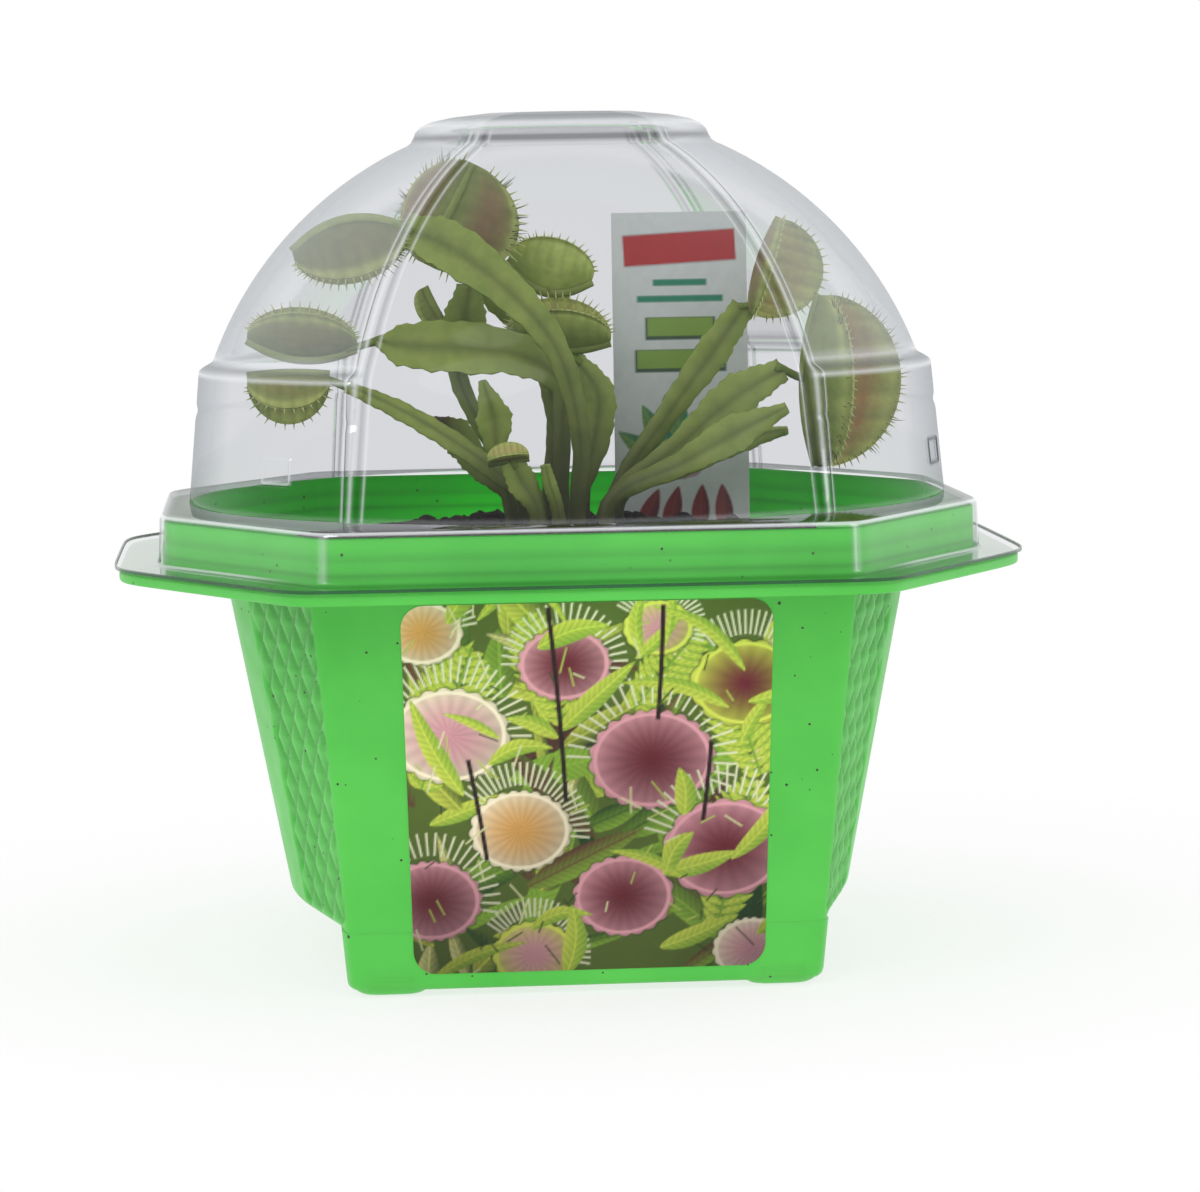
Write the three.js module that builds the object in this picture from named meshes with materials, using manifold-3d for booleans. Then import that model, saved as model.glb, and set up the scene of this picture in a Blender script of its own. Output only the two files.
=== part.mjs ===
// Potted venus flytrap under a clear dome lid. Millimetres, +Z up, front towards -Y.
// The origin is the centre of the base, with the undersides of the feet at z = 0.
import * as THREE from 'three';
import Module from 'manifold-3d';

const wasm = await Module();
wasm.setup();

// ---- Driving dimensions ----------------------------------------------------
// Outlines are octagons. width and depth: half sizes; front: half length of the front and back edges;
// side: half length of the side edges.
const RIM = { width: 80, depth: 86, front: 49, side: 34 }; // outer edge of the lid flange
const RIM_LAP = 0.8; // the lid flange overhangs the pot flange
const FLANGE_TOP = 72.2;
const FLANGE_THICK = 1.8;
const WALL = 2.2;
const FIT_GAP = 0.4;
const SOIL_GAP = 0.5;

const BODY_TOP = { z: 70.8, width: 61, depth: 61.8, front: 46.45, side: 22 };
const BODY_BOTTOM = { z: 11.3, width: 50.1, depth: 53.7, front: 41.2, side: 16 };
const BODY_CORNER = 2.2; // length cut from each side of a corner to round it
const RIM_CORNER = 5;

const FRONT_BLOCK = { bottom: 0.9, depth: 11 }; // the front and back columns and the wall between them
const FOOT = { x: 33.5, halfX: 6.9, halfY: 5.6, height: 12, sides: 12, squareness: 0.7 };
const FOOT_ROUNDING = [[0, 0.76], [1.2, 0.93], [3.4, 1]]; // height and scale of the outline
const PANEL = { depth: 1.1, columnMargin: 1.2, sideMargin: 10.5, bottom: 12.9, top: 69.9 };

const COLLAR_INSET = 8.8; // from the lid flange edge to the collar's outside
const COLLAR_WALL = 1.6;
const COLLAR_HEIGHT = 8.6;

const LABEL = { topWidth: 63.1, bottomWidth: 60.2, height: 64.7, radius: 4, thick: 0.6, bottom: 3.9, x: 0.4 };
const LABEL_PROUD = 0.15; // outer face of the label in front of the wall
const LABEL_POCKET = { depth: 0.85, gap: 0.5 };

const SOIL_TOP = 71.2;
const TAG = { width: 25, thick: 0.8, x: 24, y: 19, bottom: 64.9, top: 132.4 };

const LID_THICK = 0.9;
const LID_LIFT = 0.3; // gap between the lid and the pot
const DOME = { x: 1.2, radius: 67.8, centreZ: 83.3, depthScale: 1.05 };
const DOME_WALL = { radius: 68.3, z: 81.5, sideSlope: 0.095, panelSlope: 0.152 }; // below the shoulder
const SHOULDER = { low: 105.3, high: 107.5 };
const DOME_LEVELS = [115, 123, 130.4, 136.4, 140.9, 144.7];
const CAP = [[146.5, 26.4], [149.3, 22.6], [150.9, 13.2]]; // height and radius
const RIB = { azimuth: 36, height: 1, foot: 2.4, crest: 1 }; // degrees either side of the front and the back

const HOLE_RADIUS = 2;
const PEG_RADIUS = 1.55;
const PEG_BOTTOM = 64.4;

// ---- Materials -------------------------------------------------------------
const plastic = (color, roughness) => new THREE.MeshStandardMaterial({ color, roughness, metalness: 0 });
const MATERIALS = {
  pot: plastic(0x56c550, 0.38),
  soil: plastic(0x2d2328, 0.95),
  lid: new THREE.MeshStandardMaterial({
    color: 0xf4f7f6, roughness: 0.06, metalness: 0, transparent: true, opacity: 0.3,
  }),
  label: plastic(0xb4c84a, 0.5),
  tag: plastic(0xc4c8c8, 0.6),
  leaf: plastic(0x7d9a48, 0.55),
};

// ---- Solids from points ----------------------------------------------------
function solidFrom(points, triangles) {
  const mesh = new wasm.Mesh({
    numProp: 3,
    vertProperties: new Float32Array(points.flatMap((p) => [p.x, p.y, p.z])),
    triVerts: new Uint32Array(triangles.flat()),
  });
  return new wasm.Manifold(mesh);
}

// Rings of equal length, each anticlockwise seen from the far end, from the first to the last.
function loft(rings) {
  const count = rings[0].length;
  const triangles = [];
  for (let j = 0; j + 1 < rings.length; j += 1) {
    for (let i = 0; i < count; i += 1) {
      const next = (i + 1) % count;
      const [a, b] = [j * count + i, j * count + next];
      const [c, d] = [b + count, a + count];
      triangles.push([a, b, c], [a, c, d]);
    }
  }
  const last = (rings.length - 1) * count;
  for (let i = 1; i + 1 < count; i += 1) {
    triangles.push([0, i + 1, i], [last, last + i, last + i + 1]);
  }
  return solidFrom(rings.flat(), triangles);
}

// A plate between two grids of equal size; `outer` minus `inner` follows (du x dv).
function plate(outer, inner) {
  const rows = outer.length;
  const columns = outer[0].length;
  const at = (i, j) => i * columns + j;
  const back = rows * columns;
  const triangles = [];
  for (let i = 0; i + 1 < rows; i += 1) {
    for (let j = 0; j + 1 < columns; j += 1) {
      const [a, b, c, d] = [at(i, j), at(i + 1, j), at(i + 1, j + 1), at(i, j + 1)];
      triangles.push([a, b, c], [a, c, d], [back + a, back + c, back + b], [back + a, back + d, back + c]);
    }
  }
  const edge = (a, b) => triangles.push([b, a, back + a], [b, back + a, back + b]);
  for (let i = 0; i + 1 < rows; i += 1) {
    edge(at(i, 0), at(i + 1, 0));
    edge(at(i + 1, columns - 1), at(i, columns - 1));
  }
  for (let j = 0; j + 1 < columns; j += 1) {
    edge(at(rows - 1, j), at(rows - 1, j + 1));
    edge(at(0, j + 1), at(0, j));
  }
  return solidFrom([...outer.flat(), ...inner.flat()], triangles);
}

const vec = (x, y, z) => new THREE.Vector3(x, y, z);
const lerp = THREE.MathUtils.lerp;
const radians = THREE.MathUtils.degToRad;
const union = (solids) => wasm.Manifold.union(solids);

function circle(x, y, z, radius, count) {
  return Array.from({ length: count }, (_, i) => {
    const angle = (i / count) * 2 * Math.PI;
    return vec(x + radius * Math.cos(angle), y + radius * Math.sin(angle), z);
  });
}

function meshOf(name, solid, material) {
  const result = solid.getMesh();
  const geometry = new THREE.BufferGeometry();
  geometry.setAttribute('position', new THREE.BufferAttribute(result.vertProperties, 3));
  geometry.setIndex(new THREE.BufferAttribute(result.triVerts, 1));
  geometry.computeVertexNormals();
  const mesh = new THREE.Mesh(geometry, material);
  mesh.name = name;
  return mesh;
}

// ---- Octagons --------------------------------------------------------------
function octagon({ width, depth, front, side }, z) {
  return [
    vec(-front, -depth, z), vec(front, -depth, z), vec(width, -side, z), vec(width, side, z),
    vec(front, depth, z), vec(-front, depth, z), vec(-width, side, z), vec(-width, -side, z),
  ];
}

// The same octagon with every edge moved inwards.
function shrunk({ width, depth, front, side }, inset) {
  const length = Math.hypot(width - front, depth - side);
  const [nx, ny] = [(depth - side) / length, (width - front) / length];
  const reach = nx * front + ny * depth - inset;
  return {
    width: width - inset,
    depth: depth - inset,
    front: (reach - ny * (depth - inset)) / nx,
    side: (reach - nx * (width - inset)) / ny,
  };
}

// Three points in place of each corner, `cut` along the edges from it.
function softened(ring, cut) {
  return ring.flatMap((corner, i) => {
    const neighbours = [ring[(i + ring.length - 1) % ring.length], ring[(i + 1) % ring.length]];
    const [before, after] = neighbours.map((p) => p.clone().sub(corner).setLength(cut).add(corner));
    return [before, before.clone().add(after).multiplyScalar(0.25).addScaledVector(corner, 0.5), after];
  });
}

const rim = (inset, z) => softened(octagon(shrunk(RIM, inset), z), Math.max(2, RIM_CORNER - 0.35 * inset));

// The tapered body at height z.
function body(z) {
  const t = (z - BODY_BOTTOM.z) / (BODY_TOP.z - BODY_BOTTOM.z);
  return {
    width: lerp(BODY_BOTTOM.width, BODY_TOP.width, t),
    depth: lerp(BODY_BOTTOM.depth, BODY_TOP.depth, t),
    front: lerp(BODY_BOTTOM.front, BODY_TOP.front, t),
    side: lerp(BODY_BOTTOM.side, BODY_TOP.side, t),
  };
}
const BODY_LEVELS = 8; // enough to keep the twisted slanted walls even
const levels = (low, high) => Array.from({ length: BODY_LEVELS + 1 }, (_, i) => lerp(low, high, i / BODY_LEVELS));
const bodyRing = (z, inset) => softened(octagon(shrunk(body(z), inset), z), Math.max(1.3, BODY_CORNER - inset));
const bodyLoft = (low, high, inset) => loft(levels(low, high).map((z) => bodyRing(z, inset)));

// ---- Pot -------------------------------------------------------------------
// A block sunk into the slanted wall between two corners of the body, and its margins from them.
function facePanel(first, second, firstMargin, secondMargin) {
  return loft(levels(PANEL.bottom, PANEL.top).map((z) => {
    const ring = octagon(body(z), z);
    const along = ring[second].clone().sub(ring[first]).normalize();
    const out = vec(along.y, -along.x, 0);
    const start = ring[first].clone().addScaledVector(along, firstMargin);
    const end = ring[second].clone().addScaledVector(along, -secondMargin);
    return [
      start.clone().addScaledVector(out, 3), end.clone().addScaledVector(out, 3),
      end.clone().addScaledVector(out, -PANEL.depth), start.clone().addScaledVector(out, -PANEL.depth),
    ];
  }));
}

function frontBlock(side) {
  return loft([FRONT_BLOCK.bottom, BODY_BOTTOM.z + 1].map((z) => {
    const { depth, front } = body(z);
    const back = -depth + FRONT_BLOCK.depth;
    return [[-front, -depth], [front, -depth], [front, back], [-front, back]]
      .map(([x, y]) => vec(side * x, side * y, z));
  }));
}

function foot(signX, signY) {
  const squared = (value) => Math.sign(value) * Math.abs(value) ** FOOT.squareness;
  return loft([...FOOT_ROUNDING, [FOOT.height, 1]].map(([z, scale]) => {
    const y = signY * (body(z).depth - FOOT.halfY + 0.1);
    return circle(0, 0, z, 1, FOOT.sides).map((p) => vec(
      signX * FOOT.x + squared(p.x) * FOOT.halfX * scale, y + squared(p.y) * FOOT.halfY * scale, z,
    ));
  }));
}

function makePot() {
  const collarTop = FLANGE_TOP + COLLAR_HEIGHT;
  const collarInside = COLLAR_INSET + COLLAR_WALL;
  const outside = union([
    bodyLoft(BODY_BOTTOM.z, BODY_TOP.z + 0.5, 0),
    loft([rim(RIM_LAP, FLANGE_TOP - FLANGE_THICK), rim(RIM_LAP, FLANGE_TOP)]),
    loft([rim(COLLAR_INSET, FLANGE_TOP - 1), rim(COLLAR_INSET, collarTop)]),
    frontBlock(1), frontBlock(-1),
    foot(1, 1), foot(-1, 1), foot(1, -1), foot(-1, -1),
  ]);
  const { columnMargin, sideMargin } = PANEL;
  const holes = union([
    bodyLoft(BODY_BOTTOM.z + WALL, FLANGE_TOP + 1, WALL),
    loft([rim(collarInside, FLANGE_TOP), rim(collarInside, collarTop + 1)]),
    labelSlab(LABEL_POCKET.gap, -LABEL_POCKET.depth, 3),
    facePanel(1, 2, columnMargin, sideMargin), facePanel(3, 4, sideMargin, columnMargin),
    facePanel(5, 6, columnMargin, sideMargin), facePanel(7, 0, sideMargin, columnMargin),
  ]);
  return meshOf('pot', outside.subtract(holes), MATERIALS.pot);
}

// ---- Lid -------------------------------------------------------------------
// Height, side radius and front radius of each ring of the dome, from its base up.
function domeRings() {
  const wall = (z) => [z, ...[DOME_WALL.sideSlope, DOME_WALL.panelSlope]
    .map((slope) => DOME_WALL.radius - (z - DOME_WALL.z) * slope)];
  const sphere = (z) => {
    const radius = Math.sqrt(DOME.radius ** 2 - (z - DOME.centreZ) ** 2);
    return [z, radius, radius];
  };
  const base = FLANGE_TOP + COLLAR_HEIGHT + 0.2;
  return [
    ...[base, 93, SHOULDER.low].map(wall),
    ...[SHOULDER.high, ...DOME_LEVELS].map(sphere),
    ...CAP.map(([z, radius]) => [z, radius, radius]),
  ];
}

function domeAzimuths() {
  const { azimuth, foot: low, crest } = RIB;
  const quadrant = [0, 12, 24, azimuth - low, azimuth - crest, azimuth + crest, azimuth + low, 50, 64, 77];
  const half = [...quadrant, 90, ...quadrant.slice(1).reverse().map((angle) => 180 - angle)];
  return [...half, ...half.map((angle) => 180 + angle)];
}

function domeSolid(scale) {
  return loft(domeRings().map(([z, sideRadius, frontRadius]) => domeAzimuths().map((azimuth) => {
    const fromFront = Math.min(azimuth % 180, 180 - (azimuth % 180));
    const onRib = Math.abs(fromFront - RIB.azimuth) < (RIB.crest + RIB.foot) / 2 && z < CAP[0][0];
    const radius = (fromFront < RIB.azimuth ? frontRadius : sideRadius) + (onRib ? RIB.height : 0);
    return vec(
      DOME.x + radius * Math.sin(radians(azimuth)) * scale,
      -radius * Math.cos(radians(azimuth)) * DOME.depthScale * scale,
      DOME.centreZ + (z - DOME.centreZ) * scale,
    );
  })));
}

function makeLid() {
  const underside = FLANGE_TOP + LID_LIFT;
  const ceiling = FLANGE_TOP + COLLAR_HEIGHT + LID_LIFT;
  const inside = COLLAR_INSET - FIT_GAP;
  const shell = union([
    loft([rim(0, underside), rim(0, underside + LID_THICK)]),
    loft([rim(inside - LID_THICK, underside), rim(inside - LID_THICK, ceiling + LID_THICK)]),
    domeSolid(1),
  ]);
  const hollow = union([
    loft([rim(inside, underside - 1), rim(inside, ceiling)]),
    domeSolid(1 - LID_THICK / DOME.radius).translate([0, 0, -0.6]),
  ]);
  return meshOf('lid_dome', shell.subtract(hollow), MATERIALS.lid);
}

// ---- Label and tag ---------------------------------------------------------
// The label's outline grown by `grow`, from `back` to `front` of the sloping front wall.
function labelSlab(grow, back, front) {
  const { topWidth, bottomWidth, height, radius } = LABEL;
  const corners = [
    [-bottomWidth / 2, -1, 180], [bottomWidth / 2, -1, 270], [topWidth / 2, 1, 0], [-topWidth / 2, 1, 90],
  ];
  const outline = corners.flatMap(([x, up, start]) => [0, 22.5, 45, 67.5, 90].map((turn) => {
    const angle = radians(start + turn);
    return [
      x - Math.sign(x) * radius + (radius + grow) * Math.cos(angle),
      up * (height / 2 - radius) + (radius + grow) * Math.sin(angle),
    ];
  }));
  const tilt = Math.atan((BODY_TOP.depth - BODY_BOTTOM.depth) / (BODY_TOP.z - BODY_BOTTOM.z));
  const middle = LABEL.bottom + (height / 2) * Math.cos(tilt);
  return loft([back, front].map((z) => outline.map(([x, y]) => vec(x, y, z))))
    .rotate([90 + THREE.MathUtils.radToDeg(tilt), 0, 0])
    .translate([LABEL.x, -body(middle).depth, middle]);
}

function makeLabel() {
  return meshOf('front_label', labelSlab(0, LABEL_PROUD - LABEL.thick, LABEL_PROUD), MATERIALS.label);
}

function makeTag() {
  const height = TAG.top - TAG.bottom;
  const mesh = new THREE.Mesh(new THREE.BoxGeometry(TAG.width, TAG.thick, height), MATERIALS.tag);
  mesh.name = 'plant_tag';
  mesh.position.set(TAG.x, TAG.y, TAG.bottom + height / 2);
  return mesh;
}

// ---- Leaves ----------------------------------------------------------------
// path: middle of the leaf stalk from the soil up; widths: one for each path point;
// face: the way that the blade's upper side looks.
// trap: hinge centre, hinge axis, opening direction, length, reach of a lobe, how far the hinge bows
// back from its ends, half angle, teeth to a lobe and their length.
// stalk: where the stalk of the trap leaves the blade, if not at its end.
const LEAVES = [
  {
    root: [2.5, -6.5],
    path: [
      [2.6, -7.4, 79.9], [3.4, -8.6, 91.5], [-0.2, -9, 107.4], [-7, -8.6, 116.9], [-20, -7, 127.4], [-27.5, -5, 130.3],
    ],
    widths: [3.2, 3.4, 4.4, 6.2, 9.6, 6], face: [-0.25, -0.9, 0.35],
    trap: {
      at: [-37.4, -5, 128.1], axis: [-0.98, 0, -0.2], open: [0.18, -0.15, -1],
      length: 20.8, reach: 7.8, bow: 3.8, half: 24, teeth: 9, tooth: 1.4,
    },
  },
  {
    root: [-1.2, 10.5],
    path: [[-1.2, 10.5, 81.9], [0, 11, 94.9], [-3, 12, 107.9], [-10.5, 12, 117.9], [-18, 10.5, 125.4]],
    widths: [3, 3.4, 4.4, 5.6, 4], face: [-0.2, -0.95, 0.2],
    trap: {
      at: [-18.8, 6.2, 132.8], axis: [0.46, 0, 0.89], open: [0.42, 0.89, -0.15],
      length: 20.5, reach: 13, bow: 0, half: 60, teeth: 9, tooth: 2.4,
    },
  },
  {
    root: [4.8, 11],
    path: [[4.8, 11, 81.9], [4.8, 12.5, 95.9], [3.6, 14, 107.9], [1.6, 14.5, 117.4]],
    widths: [2.8, 3, 3.6, 2.6], face: [0, -1, 0],
    trap: {
      at: [-0.1, 14.5, 122.8], axis: [0.96, 0, -0.27], open: [0.27, 0.1, 0.95],
      length: 16.2, reach: 6, bow: 4.4, half: 28, teeth: 7, tooth: 1.4,
    },
  },
  {
    root: [3.4, 4.8],
    path: [[3.8, 4.6, 80.9], [6.8, 4.6, 91.9], [7.4, 4.8, 99.9], [3.4, 5.4, 106.1]],
    widths: [3, 6, 6.4, 3.4], face: [0.1, -0.98, 0.1],
    trap: {
      at: [0.5, 5.6, 110.2], axis: [0.995, 0, -0.06], open: [0, -0.24, 0.94],
      length: 19.4, reach: 7.4, bow: 2.2, half: 27, teeth: 9, tooth: 1.6,
    },
  },
  {
    root: [0, -0.9],
    path: [
      [0, -1.1, 80.9], [0.4, -1.6, 93.9], [0.4, -1.6, 101.9], [-6, -2, 106.9], [-18, -3, 108.9], [-28.5, -3, 109.5],
      [-33, -3, 110.3],
    ],
    widths: [3, 3.2, 4.6, 8, 10.4, 8.4, 1.6], face: [0.05, -0.92, 0.38],
    trap: {
      at: [-46.2, -3, 110.7], axis: [-0.994, 0, 0.1], open: [0.1, -0.12, 0.98],
      length: 20, reach: 6.4, bow: 3, half: 26, teeth: 7, tooth: 1.4,
    },
  },
  {
    root: [-5, -5.8],
    path: [[-5.8, -6, 80.9], [-12, -6.6, 86.5], [-21, -7.2, 93.1], [-30, -7.6, 98.5], [-38.5, -7.8, 102.5]],
    widths: [3.2, 4, 4.4, 4, 2.4], face: [0.3, -0.85, 0.45],
    trap: {
      at: [-48.8, -8, 104.1], axis: [-1, 0, 0], open: [0.05, -0.34, -0.94],
      length: 15, reach: 8.4, bow: 0.6, half: 28, teeth: 6, tooth: 1.2,
    },
  },
  {
    root: [-5.4, 3.6],
    path: [[-7, 3.6, 81.9], [-12.6, 4, 91.9], [-18, 4.4, 103.9], [-16.8, 4.4, 112.4], [-15.6, 3.2, 119.9]],
    widths: [2.8, 3.2, 3.4, 9, 4.4], face: [0, -1, 0],
    stalk: [-17.5, 4.6, 111.5],
    trap: {
      at: [-22.6, 5, 115.9], axis: [-0.45, 0, 0.89], open: [-0.9, 0, 0.3],
      length: 8, reach: 3.2, bow: 0, half: 30, teeth: 0, tooth: 0,
    },
  },
  {
    root: [-8.4, -1.2],
    path: [[-9.4, -1.6, 80.9], [-11.6, -2.4, 88.9], [-12, -3.4, 95.9], [-14, -4.2, 102.9]],
    widths: [2.6, 3, 7, 1.4], face: [0.1, -0.98, 0.1],
  },
  {
    root: [-4.6, -11],
    path: [[-5, -11.2, 79.9], [-7.6, -12, 84.9], [-9.6, -12.6, 88.9]],
    widths: [3.4, 6, 4.4], face: [0.2, -0.95, 0.25],
    trap: {
      at: [-10, -12.8, 89.5], axis: [0.98, 0, 0.12], open: [-0.05, -0.4, 0.9],
      length: 7.6, reach: 3, bow: 0, half: 46, teeth: 0, tooth: 0,
    },
  },
  {
    root: [-0.4, -11.6],
    path: [[-1.4, -11.8, 80.4], [-2.6, -12.2, 84.5], [-3.4, -12.4, 88.1]],
    widths: [2.4, 2.6, 1.8], face: [0, -1, 0],
  },
  {
    root: [-7.2, 10.4],
    path: [[-8.8, 10.8, 80.9], [-14, 11.4, 86.3], [-18.4, 11.8, 92.3], [-22.6, 12, 95.3]],
    widths: [2.8, 4.8, 7, 1.4], face: [0.15, -0.97, 0.15],
  },
  {
    root: [8.6, 3.8],
    path: [[10.6, 3.8, 81.9], [19.5, 4.2, 94.9], [28.5, 4.8, 106.9], [34.4, 5, 115.1]],
    widths: [3, 4.2, 6.4, 4.6], face: [0.3, -0.9, 0.3],
    trap: {
      at: [38.8, 4.2, 122.3], axis: [0.3, 0, 0.95], open: [0.72, -0.62, -0.3],
      length: 18.6, reach: 11, bow: 1.5, half: 48, teeth: 8, tooth: 1.6,
    },
  },
  {
    root: [6.6, -1.6],
    path: [[8.6, -2.2, 79.9], [21.5, -3.6, 90.5], [32, -4.4, 99.3], [40.4, -4.6, 103.9]],
    widths: [3, 4.6, 8, 4.2], face: [0.3, -0.88, 0.36],
    trap: {
      at: [47.2, -4.6, 101.7], axis: [0.03, 0, 1], open: [0.85, -0.52, 0],
      length: 31.4, reach: 15.4, bow: 3, half: 38, teeth: 12, tooth: 1.2,
    },
  },
  {
    root: [7.6, -7.4],
    path: [[8.8, -7.8, 80.9], [21, -11, 87.5], [30.5, -13, 92.9], [40, -14.4, 97.5]],
    widths: [3, 4.6, 7.4, 2], face: [0.25, -0.86, 0.44],
  },
  {
    root: [11, 9.4],
    path: [[12, 9.6, 80.9], [24, 10.6, 85.7], [35, 11.2, 90.5], [43, 12, 91.9]],
    widths: [2.8, 3.6, 4.8, 1.6], face: [0.2, -0.9, 0.4],
  },
];

const STALK_SIDES = 6;

// A blade of lens section along a smooth path.
function blade(points, widths, face, steps) {
  const curve = new THREE.CatmullRomCurve3(points, false, 'centripetal');
  const rings = [];
  for (let j = 0; j <= steps; j += 1) {
    const t = j / steps;
    const tangent = curve.getTangent(t);
    const across = vec(...face).cross(tangent).normalize();
    const out = tangent.clone().cross(across).normalize();
    const place = t * (widths.length - 1);
    const k = Math.min(Math.floor(place), widths.length - 2);
    const width = lerp(widths[k], widths[k + 1], place - k);
    const thick = Math.max(0.9, 2.4 - 0.2 * width);
    const centre = curve.getPoint(t);
    rings.push(Array.from({ length: STALK_SIDES }, (_, i) => {
      const angle = (i / STALK_SIDES) * 2 * Math.PI;
      return centre.clone()
        .addScaledVector(across, (Math.cos(angle) * width) / 2)
        .addScaledVector(out, (Math.sin(angle) * thick) / 1.73);
    }));
  }
  return loft(rings);
}

function tooth(base, tip, side, radius) {
  const along = tip.clone().sub(base).normalize();
  const u = side.clone().addScaledVector(along, -side.dot(along)).normalize();
  const v = along.clone().cross(u);
  const ring = [0, 1, 2].map((i) => {
    const angle = (i / 3) * 2 * Math.PI;
    return base.clone().addScaledVector(u, Math.cos(angle) * radius).addScaledVector(v, Math.sin(angle) * radius);
  });
  return solidFrom([...ring, tip], [[0, 2, 1], [0, 1, 3], [1, 2, 3], [2, 0, 3]]);
}

const LOBE_THICK = 0.9; // thinner, down to a quarter of the reach, in the smallest traps
const LOBE_COLUMNS = 7;
const LOBE_ROWS = 3; // to each side of the hinge
const LOBE_END = 0.97; // the plate stops a little before its ends meet in a point
const LOBE_BULGE = 0.2; // of the reach
const TOOTH = { radius: 0.42, sunk: 0.8, spread: 0.82, curl: 0.12 };

function trapFrame(trap) {
  const axis = vec(...trap.axis).normalize();
  const open = vec(...trap.open);
  open.addScaledVector(axis, -open.dot(axis)).normalize();
  const across = axis.clone().cross(open).normalize();
  const hingeAt = (along) => vec(...trap.at)
    .addScaledVector(axis, (along * trap.length) / 2)
    .addScaledVector(open, -trap.bow * (1 - along ** 2));
  return { axis, open, across, hingeAt };
}

// Both lobes are one folded plate: margin, hinge, margin. Returns the plate and its marginal teeth.
function trapSolid(trap) {
  const { axis, open, across, hingeAt } = trapFrame(trap);
  const half = radians(trap.half);
  const thick = Math.min(LOBE_THICK, trap.reach / 4);
  const [cos, sin] = [Math.cos(half), Math.sin(half)];
  const reachOut = (sign) => open.clone().multiplyScalar(cos).addScaledVector(across, sign * sin);
  const outward = (sign) => across.clone().multiplyScalar(sign * cos).addScaledVector(open, -sin);
  const point = (along, height, sign) => {
    const rise = Math.sqrt(1 - along ** 2);
    const bulge = trap.reach * LOBE_BULGE * Math.sin(Math.PI * 0.85 * height) * rise;
    return hingeAt(along)
      .addScaledVector(open, trap.bow * height * rise ** 2)
      .addScaledVector(reachOut(sign), trap.reach * rise * height)
      .addScaledVector(outward(sign), bulge);
  };
  const [outer, inner] = [[], []];
  for (let i = 0; i <= LOBE_COLUMNS; i += 1) {
    const along = LOBE_END * Math.sin(((i / LOBE_COLUMNS) * 2 - 1) * (Math.PI / 2));
    const [outerLine, innerLine] = [[], []];
    for (let j = -LOBE_ROWS; j <= LOBE_ROWS; j += 1) {
      const sign = Math.sign(j) || 1;
      const middle = point(along, Math.abs(j) / LOBE_ROWS, sign);
      const normal = j === 0 ? open.clone().negate() : outward(sign);
      outerLine.push(middle.clone().addScaledVector(normal, thick / 2));
      innerLine.push(middle.clone().addScaledVector(normal, -thick / 2));
    }
    outer.push(outerLine);
    inner.push(innerLine);
  }
  const parts = [plate(outer, inner)];
  for (const sign of [-1, 1]) {
    for (let i = 0; i < trap.teeth; i += 1) {
      const turn = lerp(-TOOTH.spread, TOOTH.spread, i / (trap.teeth - 1)) * (Math.PI / 2);
      const radial = reachOut(sign).multiplyScalar(Math.cos(turn)).addScaledVector(axis, Math.sin(turn));
      const root = point(Math.sin(turn) * LOBE_END, 1, sign).addScaledVector(radial, -TOOTH.sunk);
      const tip = root.clone()
        .addScaledVector(radial, trap.tooth + TOOTH.sunk)
        .addScaledVector(outward(sign), -TOOTH.curl * trap.tooth);
      parts.push(tooth(root, tip, axis, TOOTH.radius));
    }
  }
  return union(parts);
}

function makeLeaf(leaf, index) {
  const [x, y] = leaf.root;
  const peg = loft([PEG_BOTTOM, SOIL_TOP + 0.6].map((z) => circle(x, y, z, PEG_RADIUS, 8)));
  const points = [vec(x, y, SOIL_TOP - 1.2), ...leaf.path.map((p) => vec(...p))];
  const steps = Math.max(7, points.length * 2 - 1);
  const parts = [peg, blade(points, [2.6, ...leaf.widths], leaf.face, steps)];
  if (leaf.trap) {
    const { hingeAt } = trapFrame(leaf.trap);
    const end = vec(...(leaf.stalk ?? leaf.path.at(-1)));
    const [target] = [-0.8, 0, 0.8].map(hingeAt).sort((a, b) => a.distanceTo(end) - b.distanceTo(end));
    const start = end.clone().addScaledVector(end.clone().sub(target).normalize(), 1);
    const stalk = [start, end.clone().lerp(target, 0.5), target];
    parts.push(trapSolid(leaf.trap), blade(stalk, [1.8, 1.5, 1.4], leaf.face, 3));
  }
  const name = `flytrap_leaf_${String(index + 1).padStart(2, '0')}`;
  return meshOf(name, union(parts), MATERIALS.leaf);
}

// ---- Soil ------------------------------------------------------------------
function makeSoil() {
  const inset = WALL + SOIL_GAP;
  const bulk = bodyLoft(BODY_BOTTOM.z + inset, SOIL_TOP, inset);
  const [w, t] = [TAG.width / 2 + FIT_GAP, TAG.thick / 2 + FIT_GAP];
  const slot = loft([TAG.bottom - FIT_GAP, SOIL_TOP + 1].map((z) => (
    [[-w, -t], [w, -t], [w, t], [-w, t]].map(([x, y]) => vec(TAG.x + x, TAG.y + y, z))
  )));
  const holes = LEAVES.map(({ root: [x, y] }) => (
    loft([PEG_BOTTOM - FIT_GAP, SOIL_TOP + 1].map((z) => circle(x, y, z, HOLE_RADIUS, 8)))
  ));
  return meshOf('soil', bulk.subtract(union([slot, ...holes])), MATERIALS.soil);
}

// ---- Whole object ----------------------------------------------------------
const group = new THREE.Group();
group.add(makePot(), makeSoil(), makeLid(), makeLabel(), makeTag());
LEAVES.forEach((leaf, index) => group.add(makeLeaf(leaf, index)));

export default group;
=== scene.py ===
"""Looks for the potted venus flytrap: a clear domed lid, a green pot, soil, label, tag and plant."""

import math
import random

import bpy
import numpy as np
from mathutils import Matrix, Vector


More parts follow.
